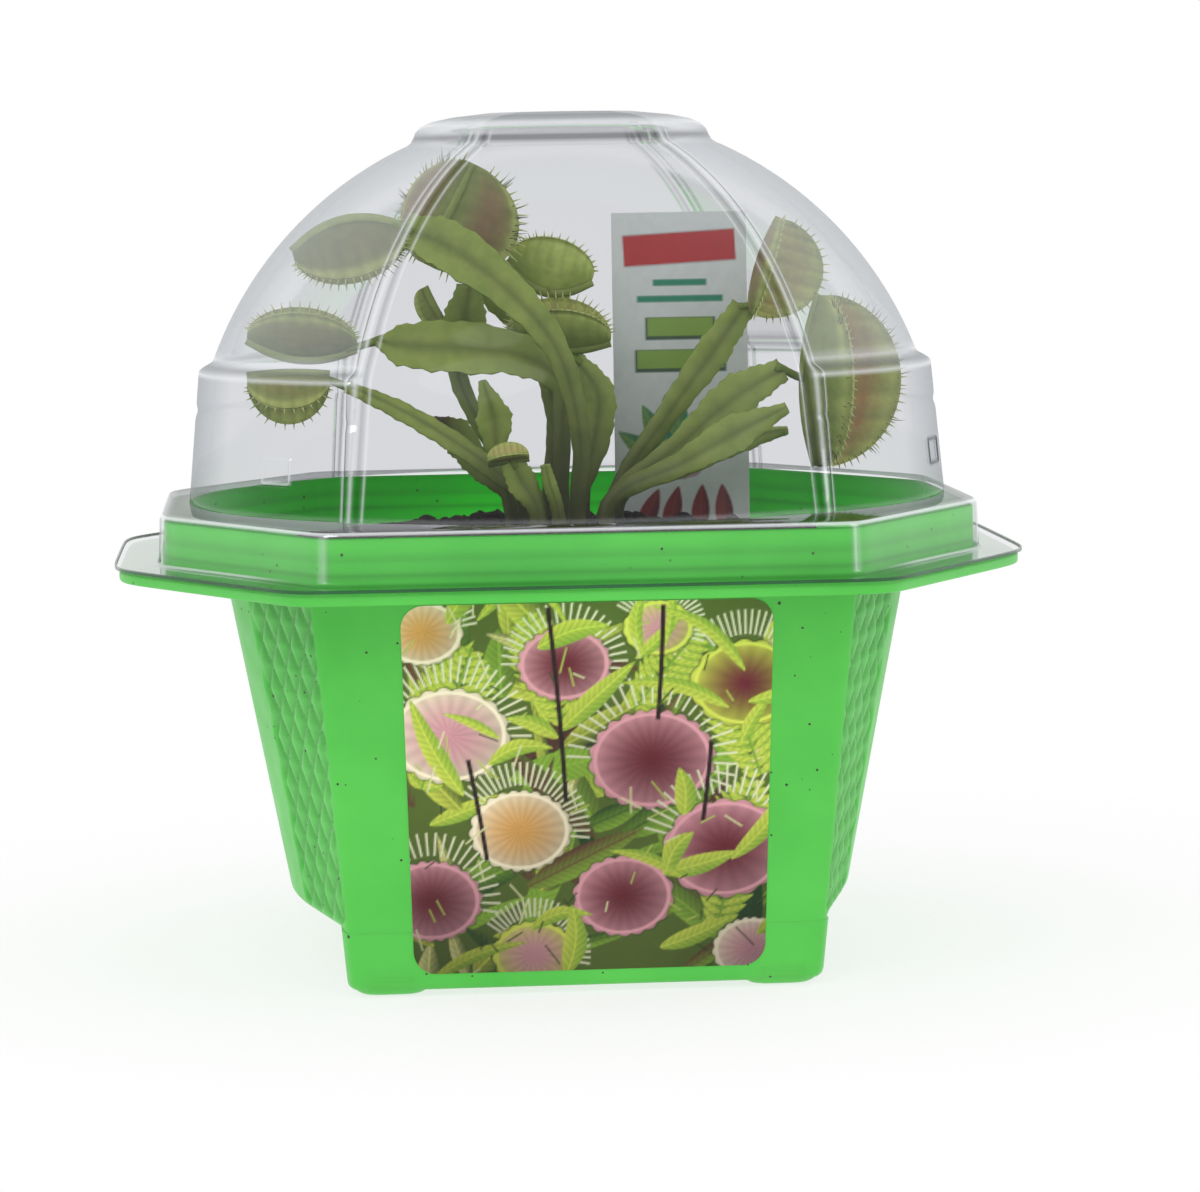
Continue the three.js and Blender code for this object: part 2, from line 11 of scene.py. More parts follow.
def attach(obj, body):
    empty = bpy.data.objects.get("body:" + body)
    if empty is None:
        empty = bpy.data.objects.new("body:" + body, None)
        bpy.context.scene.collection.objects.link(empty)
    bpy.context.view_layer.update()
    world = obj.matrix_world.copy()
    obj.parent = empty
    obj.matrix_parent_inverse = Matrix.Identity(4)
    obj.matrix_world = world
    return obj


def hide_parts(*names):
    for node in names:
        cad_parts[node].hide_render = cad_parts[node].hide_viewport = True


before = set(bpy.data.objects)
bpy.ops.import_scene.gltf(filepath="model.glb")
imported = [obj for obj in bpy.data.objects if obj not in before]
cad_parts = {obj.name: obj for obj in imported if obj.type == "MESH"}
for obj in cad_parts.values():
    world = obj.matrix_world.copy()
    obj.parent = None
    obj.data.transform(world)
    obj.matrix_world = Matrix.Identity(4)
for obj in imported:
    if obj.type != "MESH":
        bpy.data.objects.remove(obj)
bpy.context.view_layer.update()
BODY = "root"
MM = 0.001
SEED = 7

# ---- Dimensions in millimetres, as in the CAD model -------------------------
RIM = {"width": 80, "depth": 86, "front": 49, "side": 34}
FLANGE_TOP = 72.2
FLANGE_BOTTOM = 70.4
COLLAR_INSET = 8.8
COLLAR_TOP = 80.8
BODY_TOP = {"z": 70.8, "width": 61, "depth": 61.8, "front": 46.45, "side": 22}
BODY_BOTTOM = {"z": 11.3, "width": 50.1, "depth": 53.7, "front": 41.2, "side": 16}
WALL = 2.2
FRONT_BOTTOM_Z = 0.9
FOOT = {"x": 33.5, "half_x": 6.9, "half_y": 5.6}
# The quilted slanted panels: how deep they lie, how high they are quilted, and where they start and stop.
PANEL = {"depth": 1.1, "pillow": 1.3, "column": 1.2, "side": 10.5, "bottom": 12.3, "top": 70.3}
LABEL = {
    "top_width": 63.1, "bottom_width": 60.2, "height": 64.7, "radius": 4, "bottom": 3.9, "x": 0.4,
    "proud": 0.15, "thickness": 0.6, "pitch": 0.24,
}
SOIL_TOP = 71.2
SOIL_HEAP = 4.6
TAG = {
    "width": 25, "x": 24, "y": 19, "bottom": 64.9, "height": 67.5, "half_thickness": 0.38, "pitch": 0.25,
}
DOME_X = 1.2
DOME_RADIUS = 67.8
DOME_CENTRE_Z = 83.3
DOME_DEPTH_SCALE = 1.05
DOME_BASE = {"radius": 68.3, "z": 81.5, "side_lean": 0.095, "panel_lean": 0.152}
RIB_AZIMUTH = 36
PEG_BOTTOM = 64.4

TURNS = 720  # samples round the pot


def srgb(red, green, blue):
    """Linear colour of an 8-bit sRGB one."""
    values = np.array([red, green, blue]) / 255
    return np.where(values <= 0.04045, values / 12.92, ((values + 0.055) / 1.055) ** 2.4)


def smooth(low, high, value):
    """A soft step from 0 at low to 1 at high, which may be the smaller one."""
    t = np.clip((value - low) / (high - low), 0, 1)
    return t * t * (3 - 2 * t)


def bell(value, width):
    """A soft bump of height 1 at zero."""
    return np.exp(-((value / width) ** 2))


def blend(first, second, share):
    """The first at share 0, the second at share 1."""
    return first * (1 - share) + second * share


def lines(value, rows):
    """The sum of soft bumps at each row's (place, width, strength)."""
    return sum(strength * bell(value - place, width) for place, width, strength in rows)


# ---- Meshes -----------------------------------------------------------------
def add_mesh(name, points, faces, material, colours=None, flat=False):
    """A mesh object from points in millimetres, with their colours in its Tint layer."""
    points = np.asarray(points, float).reshape(-1, 3)
    mesh = bpy.data.meshes.new(name)
    mesh.from_pydata((points * MM).tolist(), [], [list(map(int, f)) for f in faces])
    mesh.validate()
    mesh.update()
    if not flat:
        mesh.polygons.foreach_set("use_smooth", [True] * len(mesh.polygons))
    if colours is not None:
        layer = mesh.color_attributes.new("Tint", "FLOAT_COLOR", "POINT")
        rgba = np.ones((len(mesh.vertices), 4))
        rgba[:, :3] = colours.reshape(-1, 3)
        layer.data.foreach_set("color", rgba.ravel())
    mesh.materials.append(material)
    made = bpy.data.objects.new(name, mesh)
    bpy.context.scene.collection.objects.link(made)
    return made


def make_piece(name, points, faces, material, colours=None, slot=None, replaces=(), flat=False):
    """A mesh that rides on the pot, in the place of the CAD nodes it replaces. Its slot is not used."""
    piece = add_mesh(name, points, faces, material, colours, flat)
    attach(piece, BODY)
    if replaces:
        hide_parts(*replaces)
    return piece


def grid_faces(rows, columns, wrap=False, start=0, flip=False):
    """Quads between rows of points; wrap closes each row on itself."""
    faces = []
    for i in range(rows - 1):
        for j in range(columns if wrap else columns - 1):
            k = (j + 1) % columns
            quad = (i * columns + j, i * columns + k, (i + 1) * columns + k, (i + 1) * columns + j)
            faces.append([start + v for v in (reversed(quad) if flip else quad)])
    return faces


def tube_faces(rows, columns, bottom=True, top=True):
    """Quads round a stack of rings, with a cap on its first and last ring."""
    faces = grid_faces(rows, columns, wrap=True)
    if bottom:
        faces.append(list(range(columns))[::-1])
    if top:
        faces.append([(rows - 1) * columns + j for j in range(columns)])
    return faces


def grid_border(rows, columns):
    """Indices of the points round the edge of a grid: along the first row, then up the last column."""
    index = np.arange(rows * columns).reshape(rows, columns)
    sides = (index[0], index[1:, -1], index[-1, -2::-1], index[-2:0:-1, 0])
    return np.concatenate(sides).tolist()


class Soup:
    """Points, faces and colours of several shells in one mesh."""

    def __init__(self):
        self.points, self.faces, self.colours = [], [], []
        self.count = 0

    def add(self, points, faces, colours=(1, 1, 1)):
        """Adds a shell, with one colour or one for each point."""
        points = np.asarray(points, float).reshape(-1, 3)
        colours = np.broadcast_to(np.asarray(colours, float).reshape(-1, 3), (len(points), 3))
        self.faces += [[v + self.count for v in face] for face in faces]
        self.points.append(points)
        self.colours.append(colours)
        self.count += len(points)

    def piece(self, name, material, **options):
        return make_piece(
            name, np.concatenate(self.points), self.faces, material, np.concatenate(self.colours), **options
        )


# ---- Octagons ---------------------------------------------------------------
AZIMUTHS = np.radians(np.arange(TURNS) * 360 / TURNS)
HEADINGS = np.stack([np.sin(AZIMUTHS), -np.cos(AZIMUTHS)], axis=1)


def corners(size):
    """Corners of an octagon, anticlockwise from the front left."""
    w, d, f, s = (size[key] for key in ("width", "depth", "front", "side"))
    return np.array([(-f, -d), (f, -d), (w, -s), (w, s), (f, d), (-f, d), (-w, s), (-w, -s)], float)


def shrunk(size, inset):
    """The octagon with every edge moved inwards."""
    w, d, f, s = (size[key] for key in ("width", "depth", "front", "side"))
    length = math.hypot(w - f, d - s)
    nx, ny = (d - s) / length, (w - f) / length
    reach = nx * f + ny * d - inset
    front, side = (reach - ny * (d - inset)) / nx, (reach - nx * (w - inset)) / ny
    return {"width": w - inset, "depth": d - inset, "front": front, "side": side}


def body_size(z, inset=0):
    """Size of the pot's body at a height, with every edge moved inwards."""
    t = (z - BODY_BOTTOM["z"]) / (BODY_TOP["z"] - BODY_BOTTOM["z"])
    keys = ("width", "depth", "front", "side")
    return shrunk({k: BODY_BOTTOM[k] + (BODY_TOP[k] - BODY_BOTTOM[k]) * t for k in keys}, inset)


def octagon_ring(size, z, sharpness=54):
    """A ring of TURNS points with softened corners, and each point's face, place, half length and normal."""
    points = corners(size)
    following = np.roll(points, -1, axis=0)
    along = following - points
    lengths = np.linalg.norm(along, axis=1)
    along /= lengths[:, None]
    normals = np.stack([along[:, 1], -along[:, 0]], axis=1)
    distances = np.einsum("ij,ij->i", normals, points)
    nearness = np.clip(HEADINGS @ normals.T / distances, 0, None)
    radius = (nearness**sharpness).sum(axis=1) ** (-1 / sharpness)
    face = nearness.argmax(axis=1)
    flat = HEADINGS * radius[:, None]
    middle = (points + following) / 2
    place = np.einsum("ij,ij->i", flat - middle[face], along[face])
    ring = np.column_stack([flat, np.full(TURNS, z)])
    return ring, face, place, lengths[face] / 2, normals[face]


def swept(profile):
    """Rings of the rim for a profile of (inset, height), with corners that sharpen inwards."""
    return np.array([octagon_ring(shrunk(RIM, inset), z, 46 + 4 * inset)[0] for inset, z in profile])


def dense(profile, step=0.6):
    """The profile with points added along its straight stretches."""
    profile = [np.asarray(p, float) for p in profile]
    rows = [profile[0]]
    for start, stop in zip(profile, profile[1:]):
        count = max(1, int(np.linalg.norm(stop - start) / step))
        rows += [start + (stop - start) * k / count for k in range(1, count + 1)]
    return rows


def rounded(points, radius, steps=4):
    """A profile with each inner corner turned into a short arc-like curve."""
    points = [np.array(p, float) for p in points]
    out = [points[0]]
    for before, here, after in zip(points, points[1:], points[2:]):
        first = here + (before - here) * min(0.45, radius / np.linalg.norm(before - here))
        last = here + (after - here) * min(0.45, radius / np.linalg.norm(after - here))
        for k in range(steps + 1):
            t = k / steps
            out.append((1 - t) ** 2 * first + 2 * t * (1 - t) * here + t * t * last)
    out.append(points[-1])
    return out


# ---- Materials --------------------------------------------------------------
class Shade:
    """A node material under construction. In a keyword, an underscore stands for a space."""

    def __init__(self, name):
        self.material = bpy.data.materials.new(name)
        self.material.use_nodes = True
        self.tree = self.material.node_tree
        self.surface = self.tree.nodes["Principled BSDF"]

    def node(self, kind, settings=None, **inputs):
        made = self.tree.nodes.new("ShaderNode" + kind)
        for key, value in (settings or {}).items():
            setattr(made, key, value)
        for key, value in inputs.items():
            self.put(made.inputs[key.replace("_", " ")], value)
        return made

    def put(self, socket, value):
        """Links an output to the socket, or sets it to a number or colour."""
        if isinstance(value, bpy.types.NodeSocket):
            self.tree.links.new(value, socket)
        elif hasattr(value, "__len__") and len(value) == 3 and len(socket.default_value) == 4:
            socket.default_value = (*value, 1)
        else:
            socket.default_value = value

    def set(self, **inputs):
        for key, value in inputs.items():
            self.put(self.surface.inputs[key.replace("_", " ")], value)

    def place(self):
        return self.node("TexCoord").outputs["Object"]

    def tint(self):
        return self.node("VertexColor", {"layer_name": "Tint"}).outputs["Color"]

    def channels(self, colour):
        return self.node("SeparateColor", Color=colour).outputs

    def noise(self, scale, detail=4, rough=0.55):
        made = self.node("TexNoise", Scale=scale, Detail=detail, Roughness=rough, Vector=self.place())
        return made.outputs["Fac"]

    def calculate(self, operation, first, second, clamp=False):
        made = self.node("Math", {"operation": operation, "use_clamp": clamp})
        self.put(made.inputs[0], first)
        self.put(made.inputs[1], second)
        return made.outputs[0]

    def ramp(self, factor, stops):
        made = self.node("ValToRGB", Fac=factor)
        band = made.color_ramp
        while len(band.elements) < len(stops):
            band.elements.new(0.5)
        for element, (position, colour) in zip(band.elements, stops):
            element.position = position
            element.color = (*colour, 1)
        return made.outputs["Color"]

    def mix(self, factor, first, second, mode="MIX"):
        made = self.node("Mix", {"data_type": "RGBA", "blend_type": mode})
        for socket, value in ((0, factor), (6, first), (7, second)):
            self.put(made.inputs[socket], value)
        return made.outputs[2]

    def spread(self, factor, low, high, to_low, to_high):
        made = self.node("MapRange", Value=factor)
        for index, value in enumerate((low, high, to_low, to_high), start=1):
            made.inputs[index].default_value = value
        return made.outputs["Result"]

    def tinted(self, colour):
        """A colour times the colours of the piece's points."""
        return self.mix(1.0, colour, self.tint(), "MULTIPLY")

    def uneven_gloss(self, scale, low, high):
        """Patches of more and less roughness."""
        self.set(Roughness=self.spread(self.noise(scale), 0.3, 0.7, low, high))

    def bump(self, height, strength, distance):
        made = self.node("Bump", Height=height, Strength=strength, Distance=distance)
        self.put(self.surface.inputs["Normal"], made.outputs["Normal"])


def speckles(shade, colour):
    """Sparse dark crumbs over a colour: a spot of wandering size in a few of the cells."""
    scale = 760
    cells = shade.node("TexVoronoi", Scale=scale, Vector=shade.place()).outputs
    size = shade.calculate("MULTIPLY", shade.noise(scale * 0.21, detail=2), 0.34)
    spot = shade.calculate("LESS_THAN", cells["Distance"], size)
    chosen = shade.calculate("GREATER_THAN", shade.channels(cells["Color"])[0], 0.93)
    return shade.mix(shade.calculate("MULTIPLY", spot, chosen), colour, srgb(52, 50, 38))


def pot_material():
    """Green moulded plastic with crumbs of soil on it, times the painted shade and light of its point
    colours.
    """
    shade = Shade("pot_green")
    tone = shade.ramp(shade.noise(38, detail=3), [(0.3, srgb(72, 187, 64)), (0.7, srgb(86, 200, 76))])
    shade.set(Base_Color=speckles(shade, shade.tinted(tone)), Specular_IOR_Level=0.45)
    shade.set(Subsurface_Weight=0.12, Subsurface_Radius=(0.6, 1.0, 0.4), Subsurface_Scale=0.002)
    shade.uneven_gloss(120, 0.34, 0.46)
    shade.bump(shade.noise(900, detail=2), 0.12, 0.0003)
    return shade.material


def soil_material():
    """Dark crumbly soil with pale fibres."""
    shade = Shade("potting_soil")
    tones = [(14, 10, 10), (38, 28, 26), (60, 44, 36), (112, 94, 74)]
    stops = [(place, srgb(*tone)) for place, tone in zip((0.32, 0.5, 0.62, 0.78), tones)]
    tone = shade.ramp(shade.noise(420, detail=8, rough=0.7), stops)
    shade.set(Base_Color=tone, Roughness=0.94, Specular_IOR_Level=0.2)
    shade.bump(shade.noise(700, detail=8, rough=0.75), 0.9, 0.0012)
    return shade.material


def clear_material(name, edge_mirror, face_tint, edge_tint):
    """Thin clear plastic, which mirrors more and tints what it lets through more towards grazing.

    Painted shade: the red of the point colours darkens what is seen through. Painted highlights: their green
    adds mirror.
    """
    shade = Shade(name)
    shade.set(Base_Color=srgb(240, 243, 246), Metallic=1.0, Roughness=0.05)
    painted_marks = shade.channels(shade.tint())
    facing = shade.node("LayerWeight", Blend=0.5).outputs["Facing"]
    tint = shade.ramp(facing, [(0.0, face_tint), (0.6, face_tint), (1.0, edge_tint)])
    tint = shade.mix(painted_marks[0], tint, (0.12, 0.13, 0.14))
    through = shade.node("BsdfTransparent", Color=tint)
    mirror = shade.spread(shade.calculate("POWER", facing, 3), 0.0, 1.0, 0.02, edge_mirror)
    both = shade.node("MixShader", Fac=shade.calculate("ADD", mirror, painted_marks[1], clamp=True))
    shade.put(both.inputs[1], through.outputs[0])
    shade.put(both.inputs[2], shade.surface.outputs[0])
    shade.put(shade.tree.nodes["Material Output"].inputs["Surface"], both.outputs[0])
    return shade.material


def edge_material():
    """The cut edge of the lid's flange: a painted reflection, dark green for the pot's green that it gathers.
    """
    shade = Shade("clear_plastic_edge")
    tone = shade.ramp(shade.noise(60), [(0.35, srgb(6, 62, 34)), (0.7, srgb(12, 80, 46))])
    shade.set(Base_Color=tone, Roughness=0.2, Alpha=0.85)
    return shade.material


def print_material(name, roughness, coat):
    """Printed card: the colours of the points under a thin coat."""
    shade = Shade(name)
    grain = shade.ramp(shade.noise(500, detail=3), [(0.3, (0.93, 0.93, 0.93)), (0.7, (1, 1, 1))])
    shade.set(Base_Color=shade.tinted(grain), Specular_IOR_Level=0.25)
    shade.set(Coat_Weight=coat, Coat_Roughness=0.15)
    shade.uneven_gloss(160, roughness - 0.06, roughness + 0.06)
    shade.bump(shade.noise(1100, detail=2), 0.06, 0.0002)
    return shade.material


def leaf_material():
    """Soft leaf: the colours of the points, mottled, with a little light inside."""
    shade = Shade("flytrap_leaf")
    stops = [(0.3, (0.72, 0.78, 0.66)), (0.66, (1.08, 1.05, 1.0))]
    mottle = shade.ramp(shade.noise(260, detail=6, rough=0.65), stops)
    shade.set(Base_Color=shade.tinted(mottle), Specular_IOR_Level=0.4)
    shade.set(Subsurface_Weight=0.25, Subsurface_Radius=(0.5, 1.0, 0.25), Subsurface_Scale=0.0012)
    shade.uneven_gloss(300, 0.42, 0.62)
    shade.bump(shade.noise(850, detail=5, rough=0.6), 0.25, 0.0004)
    return shade.material


# ---- Pot --------------------------------------------------------------------
DIAMOND = (7.4, 8.6)  # width and height of one quilted diamond
# Shadow and shine round the collar: height above the flange, width and strength.
COLLAR_BANDS = ((2.3, 0.5, -0.3), (5.2, 0.4, -0.22), (7.4, 0.8, 0.1))
COLLAR_INSIDE_LIGHT = np.array([-0.55, 0.55, -0.6])  # painted light: the collar's inner wall is painted a brighter, purer green
FOOT_PROFILE = (  # (height, inset all round, how far the foot stands back)
    (0, 2.4, 0), (0.15, 1.7, 0), (0.6, 0.95, 0), (1.4, 0.4, 0), (2.4, 0.1, 0), (3.2, 0, 0), (4.2, 0.1, 0.3),
    (6, 0.3, 1),
)


def quilt(place, z):
    """Height of the pillowed diamonds of the slanted panels, from 0 in a groove to 1."""
    a = place / DIAMOND[0] + z / DIAMOND[1]
    b = place / DIAMOND[0] - z / DIAMOND[1]
    from_a = 0.5 - np.abs(a - np.floor(a) - 0.5)
    from_b = 0.5 - np.abs(b - np.floor(b) - 0.5)
    return (2 * np.minimum(from_a, from_b)) ** 0.55


def body_rings():
    """Rings of the body, and painted shade: darker in the quilting's grooves, lighter on one side of each
    diamond.
    """
    low, high, round_low = BODY_BOTTOM["z"], FLANGE_BOTTOM + 0.3, 2.2
    turned = [(round_low * (1 - math.sin(a)), low + round_low * (1 - math.cos(a)))
              for a in np.linspace(0, math.pi / 2, 7)]
    levels = turned + [(0, z) for z in np.linspace(low + round_low, high, 118)[1:]]
    rings, tones = [], []
    for inset, z in levels:
        ring, face, place, half, normal = octagon_ring(body_size(z), z)
        on_column = np.where(face % 4 == 1, half + place, half - place)
        on_side = 2 * half - on_column
        inside = smooth(0, 0.5, on_column - PANEL["column"]) * smooth(0, 1.2, on_side - PANEL["side"])
        inside *= smooth(0, 1, z - PANEL["bottom"]) * smooth(0, 0.8, PANEL["top"] - z) * (face % 2)
        turned_in = inset * np.where(face % 2 == 1, smooth(0, 7, on_column), face % 4 == 2)
        sunk = turned_in + inside * (PANEL["depth"] - PANEL["pillow"] * quilt(on_column, z))
        ring[:, :2] -= normal * sunk[:, None]
        rings.append(ring)
        # Painted light: one side of each quilted diamond is lighter, from how the quilting slopes.
        slope = quilt(on_column - 0.5, z + 0.4) - quilt(on_column + 0.5, z - 0.4)
        tones.append(1 - inside * (0.34 * (1 - quilt(on_column, z)) - 0.3 * slope))
    return np.array(rings), np.array(tones)


def block_ring(x_from, x_to, y_from, y_to, z, radius):
    """A ring round a box with rounded corners."""
    middles = ((x_to - radius, y_from + radius, -90), (x_to - radius, y_to - radius, 0),
               (x_from + radius, y_to - radius, 90), (x_from + radius, y_from + radius, 180))
    ring = []
    for x, y, start in middles:
        for angle in np.radians(start + np.linspace(0, 90, 9)):
            ring.append((x + radius * math.cos(angle), y + radius * math.sin(angle), z))
    return np.array(ring)


def apron_rings(side):
    """The plain front or back wall below the body, between and over the feet."""
    chosen = np.arange(-93, 94) % TURNS  # from column to column round the front
    rings = []
    top = BODY_BOTTOM["z"] - FRONT_BOTTOM_Z + 0.02
    for inset, z in ((1.5, 0), (0.7, 0.2), (0.2, 0.7), (0, 1.5), (0, 5), (0, top - 0.06), (0, top)):
        size = body_size(FRONT_BOTTOM_Z + z, inset)
        ring = octagon_ring(size, FRONT_BOTTOM_Z + z)[0][chosen]
        ring[:, 0] = np.clip(ring[:, 0], -size["front"] - 0.7, size["front"] + 0.7)
        rings.append(ring * [side, side, 1])
    return np.array(rings)


def foot_rings(sign_x, sign_y):
    """One foot, from a rounded sole up into the body."""
    rings = []
    for z, inset, back in FOOT_PROFILE:
        x, y = FOOT["x"], body_size(z)["depth"] + 0.05 - FOOT["half_y"] - back
        half_x, half_y = FOOT["half_x"] - inset, FOOT["half_y"] - inset
        ring = block_ring(x - half_x, x + half_x, y - half_y, y + half_y, z, 3.6 - inset * 0.4)
        if sign_x * sign_y < 0:
            ring = ring[::-1]
        rings.append(ring * [sign_x, sign_y, 1])
    return np.array(rings)


def build_pot(material):
    """Body, front and back walls, feet, flange and collar."""
    soup = Soup()
    rings, tones = body_rings()
    soup.add(rings, tube_faces(len(rings), TURNS, top=False), np.stack([tones] * 3, axis=-1))
    for side in (1, -1):
        for stack in (apron_rings(side), foot_rings(1, -side), foot_rings(-1, -side)):
            soup.add(stack, tube_faces(*stack.shape[:2]))
    under = octagon_ring(body_size(FLANGE_BOTTOM, 1), FLANGE_BOTTOM)[0]
    ledge = [octagon_ring(body_size(z, WALL), z)[0] for z in (FLANGE_TOP, FLANGE_TOP - 0.3, 68)]
    profile = dense(rounded([
        (6, FLANGE_BOTTOM), (0.8, FLANGE_BOTTOM), (0.8, FLANGE_TOP), (COLLAR_INSET, FLANGE_TOP),
        (COLLAR_INSET + 0.1, COLLAR_TOP), (COLLAR_INSET + 1.5, COLLAR_TOP),
        (COLLAR_INSET + 1.6, FLANGE_TOP), (COLLAR_INSET + 3, FLANGE_TOP),
    ], 0.5))
    rim = np.array([under, *swept(profile), *ledge])
    inner = np.array([0, *(inset > COLLAR_INSET + 1.2 for inset, _ in profile), 1, 1, 1], float)
    # Painted shadow and shine in bands round the collar, and painted light on its inner wall.
    bands = 1 + lines(rim[..., 2] - FLANGE_TOP, COLLAR_BANDS)
    tones = bands[..., None] * (1 + inner[:, None, None] * COLLAR_INSIDE_LIGHT)
    soup.add(rim, grid_faces(len(rim), TURNS, wrap=True), tones)
    return soup.piece("pot_shell", material, slot="pot", replaces=("pot",))


# ---- Lid --------------------------------------------------------------------
RIB = {"half_width": 1.15, "height": 0.85, "wall": 0.5}  # wall: width of the slope at its side
VENT = {"height": 90, "half_width": 3.6, "half_height": 2.1, "line": 0.35}
VENTS = ((-51, 0.25, 0.5), (70, 1, 0))  # azimuth of each vent mark, how dark its painted shade and how bright its painted highlight is
LEDGE_Z = 106.5  # the step in the dome's sides
CAP = ((28, 145), (27.1, 145.6), (26.6, 146.5), (26.2, 147.5), (25.2, 148.6), (23.2, 149.4), (19.7, 150.1),
       (13.2, 150.8), (6.7, 150.9), (1.9, 150.9))  # (radius, height)
# Painted dark lines and painted highlights round the dome: height, width and strength.
DARK_LINES = ((146.3, 0.5, 0.7), (150.1, 0.3, 0.5))
BRIGHT_LINES = ((148.5, 0.7, 0.5), (82.3, 0.4, 0.1))
LEDGE_DARK = ((LEDGE_Z, 0.45, 0.55),)
LEDGE_BRIGHT = ((LEDGE_Z - 1.3, 0.4, 0.5), (LEDGE_Z + 1.3, 0.5, 0.3))
# Painted dark lines and painted highlights along a rib: distance out from the edge of its top, width and
# strength.
RIB_DARK, RIB_BRIGHT = ((0.1, 0.3, 0.3),), ((0.9, 0.3, 0.35),)


def lid_azimuths():
    """Sample directions round the dome, closer together where a rib or a vent mark is."""
    spans = [np.arange(0, 360, 0.5)]
    for rib in (RIB_AZIMUTH, 180 - RIB_AZIMUTH, -RIB_AZIMUTH, RIB_AZIMUTH - 180):
        spans.append((rib + np.linspace(-3, 3, 61)) % 360)
    for vent, _, _ in VENTS:
        spans.append((vent + np.linspace(-4, 4, 61)) % 360)
    return np.radians(np.unique(np.round(np.concatenate(spans), 3)))


def dome_profile():
    """(side radius, panel radius, height) from the base to the cap."""
    rows = []
    ball_heights = DOME_CENTRE_Z + DOME_RADIUS * np.sin(np.linspace(0.376, 1.133, 40))
    for z in np.concatenate([np.linspace(81.9, 107.9, 79), ball_heights]):
        ball = math.sqrt(DOME_RADIUS**2 - (z - DOME_CENTRE_Z) ** 2)
        up = z - DOME_BASE["z"]
        wall = DOME_BASE["radius"] - up * DOME_BASE["side_lean"] - 0.3 * bell(z - 98.4, 0.9)
        side = ball + (wall - ball) * (1 - smooth(LEDGE_Z - 1.2, LEDGE_Z + 0.8, z)) if z > 98 else wall
        sloped = DOME_BASE["radius"] - up * DOME_BASE["panel_lean"]
        panel = ball + (sloped - ball) * (1 - smooth(102, 112, z))
        rows.append((side, panel, z))
    return rows + [(radius, radius, z) for radius, z in CAP]


def vent_outline(degrees, radius, z, azimuth):
    """How much each point is on the outline of the vent mark at an azimuth."""
    turned = (degrees - azimuth + 180) % 360 - 180
    u = np.abs(np.radians(turned)) * radius
    v = abs(z - VENT["height"])
    side_line = bell(u - VENT["half_width"], VENT["line"]) * (v < VENT["half_height"] + 0.3)
    end_line = (u < VENT["half_width"]) * bell(v - VENT["half_height"], VENT["line"])
    return np.maximum(side_line, end_line)


def dome_rings(azimuths):
    """Rings of the dome, and each point's painted shade and highlight: how much it darkens and how much it
    mirrors.
    """
    degrees = np.degrees(azimuths) % 360
    headings = np.stack([np.sin(azimuths), -np.cos(azimuths)], axis=1) * np.array([1, DOME_DEPTH_SCALE])
    from_front = np.minimum(degrees % 180, 180 - degrees % 180)
    past_rib = np.radians(from_front - RIB_AZIMUTH)
    on_side = smooth(-0.02, 0.02, past_rib)
    half = RIB["half_width"]
    rings, painted_lines = [], []
    for side, panel, z in dome_profile():
        radius = panel + (side - panel) * on_side
        away = np.abs(past_rib) * radius
        taper = smooth(148.1, 146.1, z)
        radius = radius + RIB["height"] * taper * smooth(half + RIB["wall"], half, away)
        dark = taper * lines(away - half, RIB_DARK) + on_side * lines(z, LEDGE_DARK) + lines(z, DARK_LINES)
        bright = taper * (0.45 * bell(away, 0.4) + lines(away - half, RIB_BRIGHT)) + lines(z, BRIGHT_LINES)
        bright = bright + on_side * (lines(z, LEDGE_BRIGHT) + 0.16 * smooth(105, 108, z))
        for azimuth, darkness, brightness in VENTS:
            outline = vent_outline(degrees, radius, z, azimuth)
            radius = radius + VENT["line"] * outline
            dark = dark + outline * darkness
            bright = bright + outline * brightness
        ring = headings * radius[:, None] + [DOME_X, 0]
        rings.append(np.column_stack([ring, np.full(len(azimuths), z)]))
        painted_lines.append(np.column_stack([dark, bright, np.zeros_like(dark)]))
    return np.array(rings), np.clip(painted_lines, 0, 1)


def skirt_painted_lines(rings):
    """Painted shade and highlights of the skirt: bright at its top edge and corners, a painted white
    reflection at the sides.
    """
    x, z = np.abs(rings[..., 0]), rings[..., 2]
    flange = z < FLANGE_TOP + 1.2
    wall = ~flange & (z < COLLAR_TOP + 0.5)
    _, _, place, half, _ = octagon_ring(shrunk(RIM, COLLAR_INSET), 0)
    bright = 0.4 * flange * smooth(48, 58, x) + 0.55 * wall * bell(half - np.abs(place), 0.9)
    bright = bright + 0.75 * bell(z - COLLAR_TOP - 0.75, 0.3)
    dark = 0.8 * (z > COLLAR_TOP + 1.0) + 0.35 * flange * bell(z - FLANGE_TOP - 0.9, 0.25)
    return np.clip(np.stack([dark, bright, np.zeros_like(dark)], axis=-1), 0, 1)


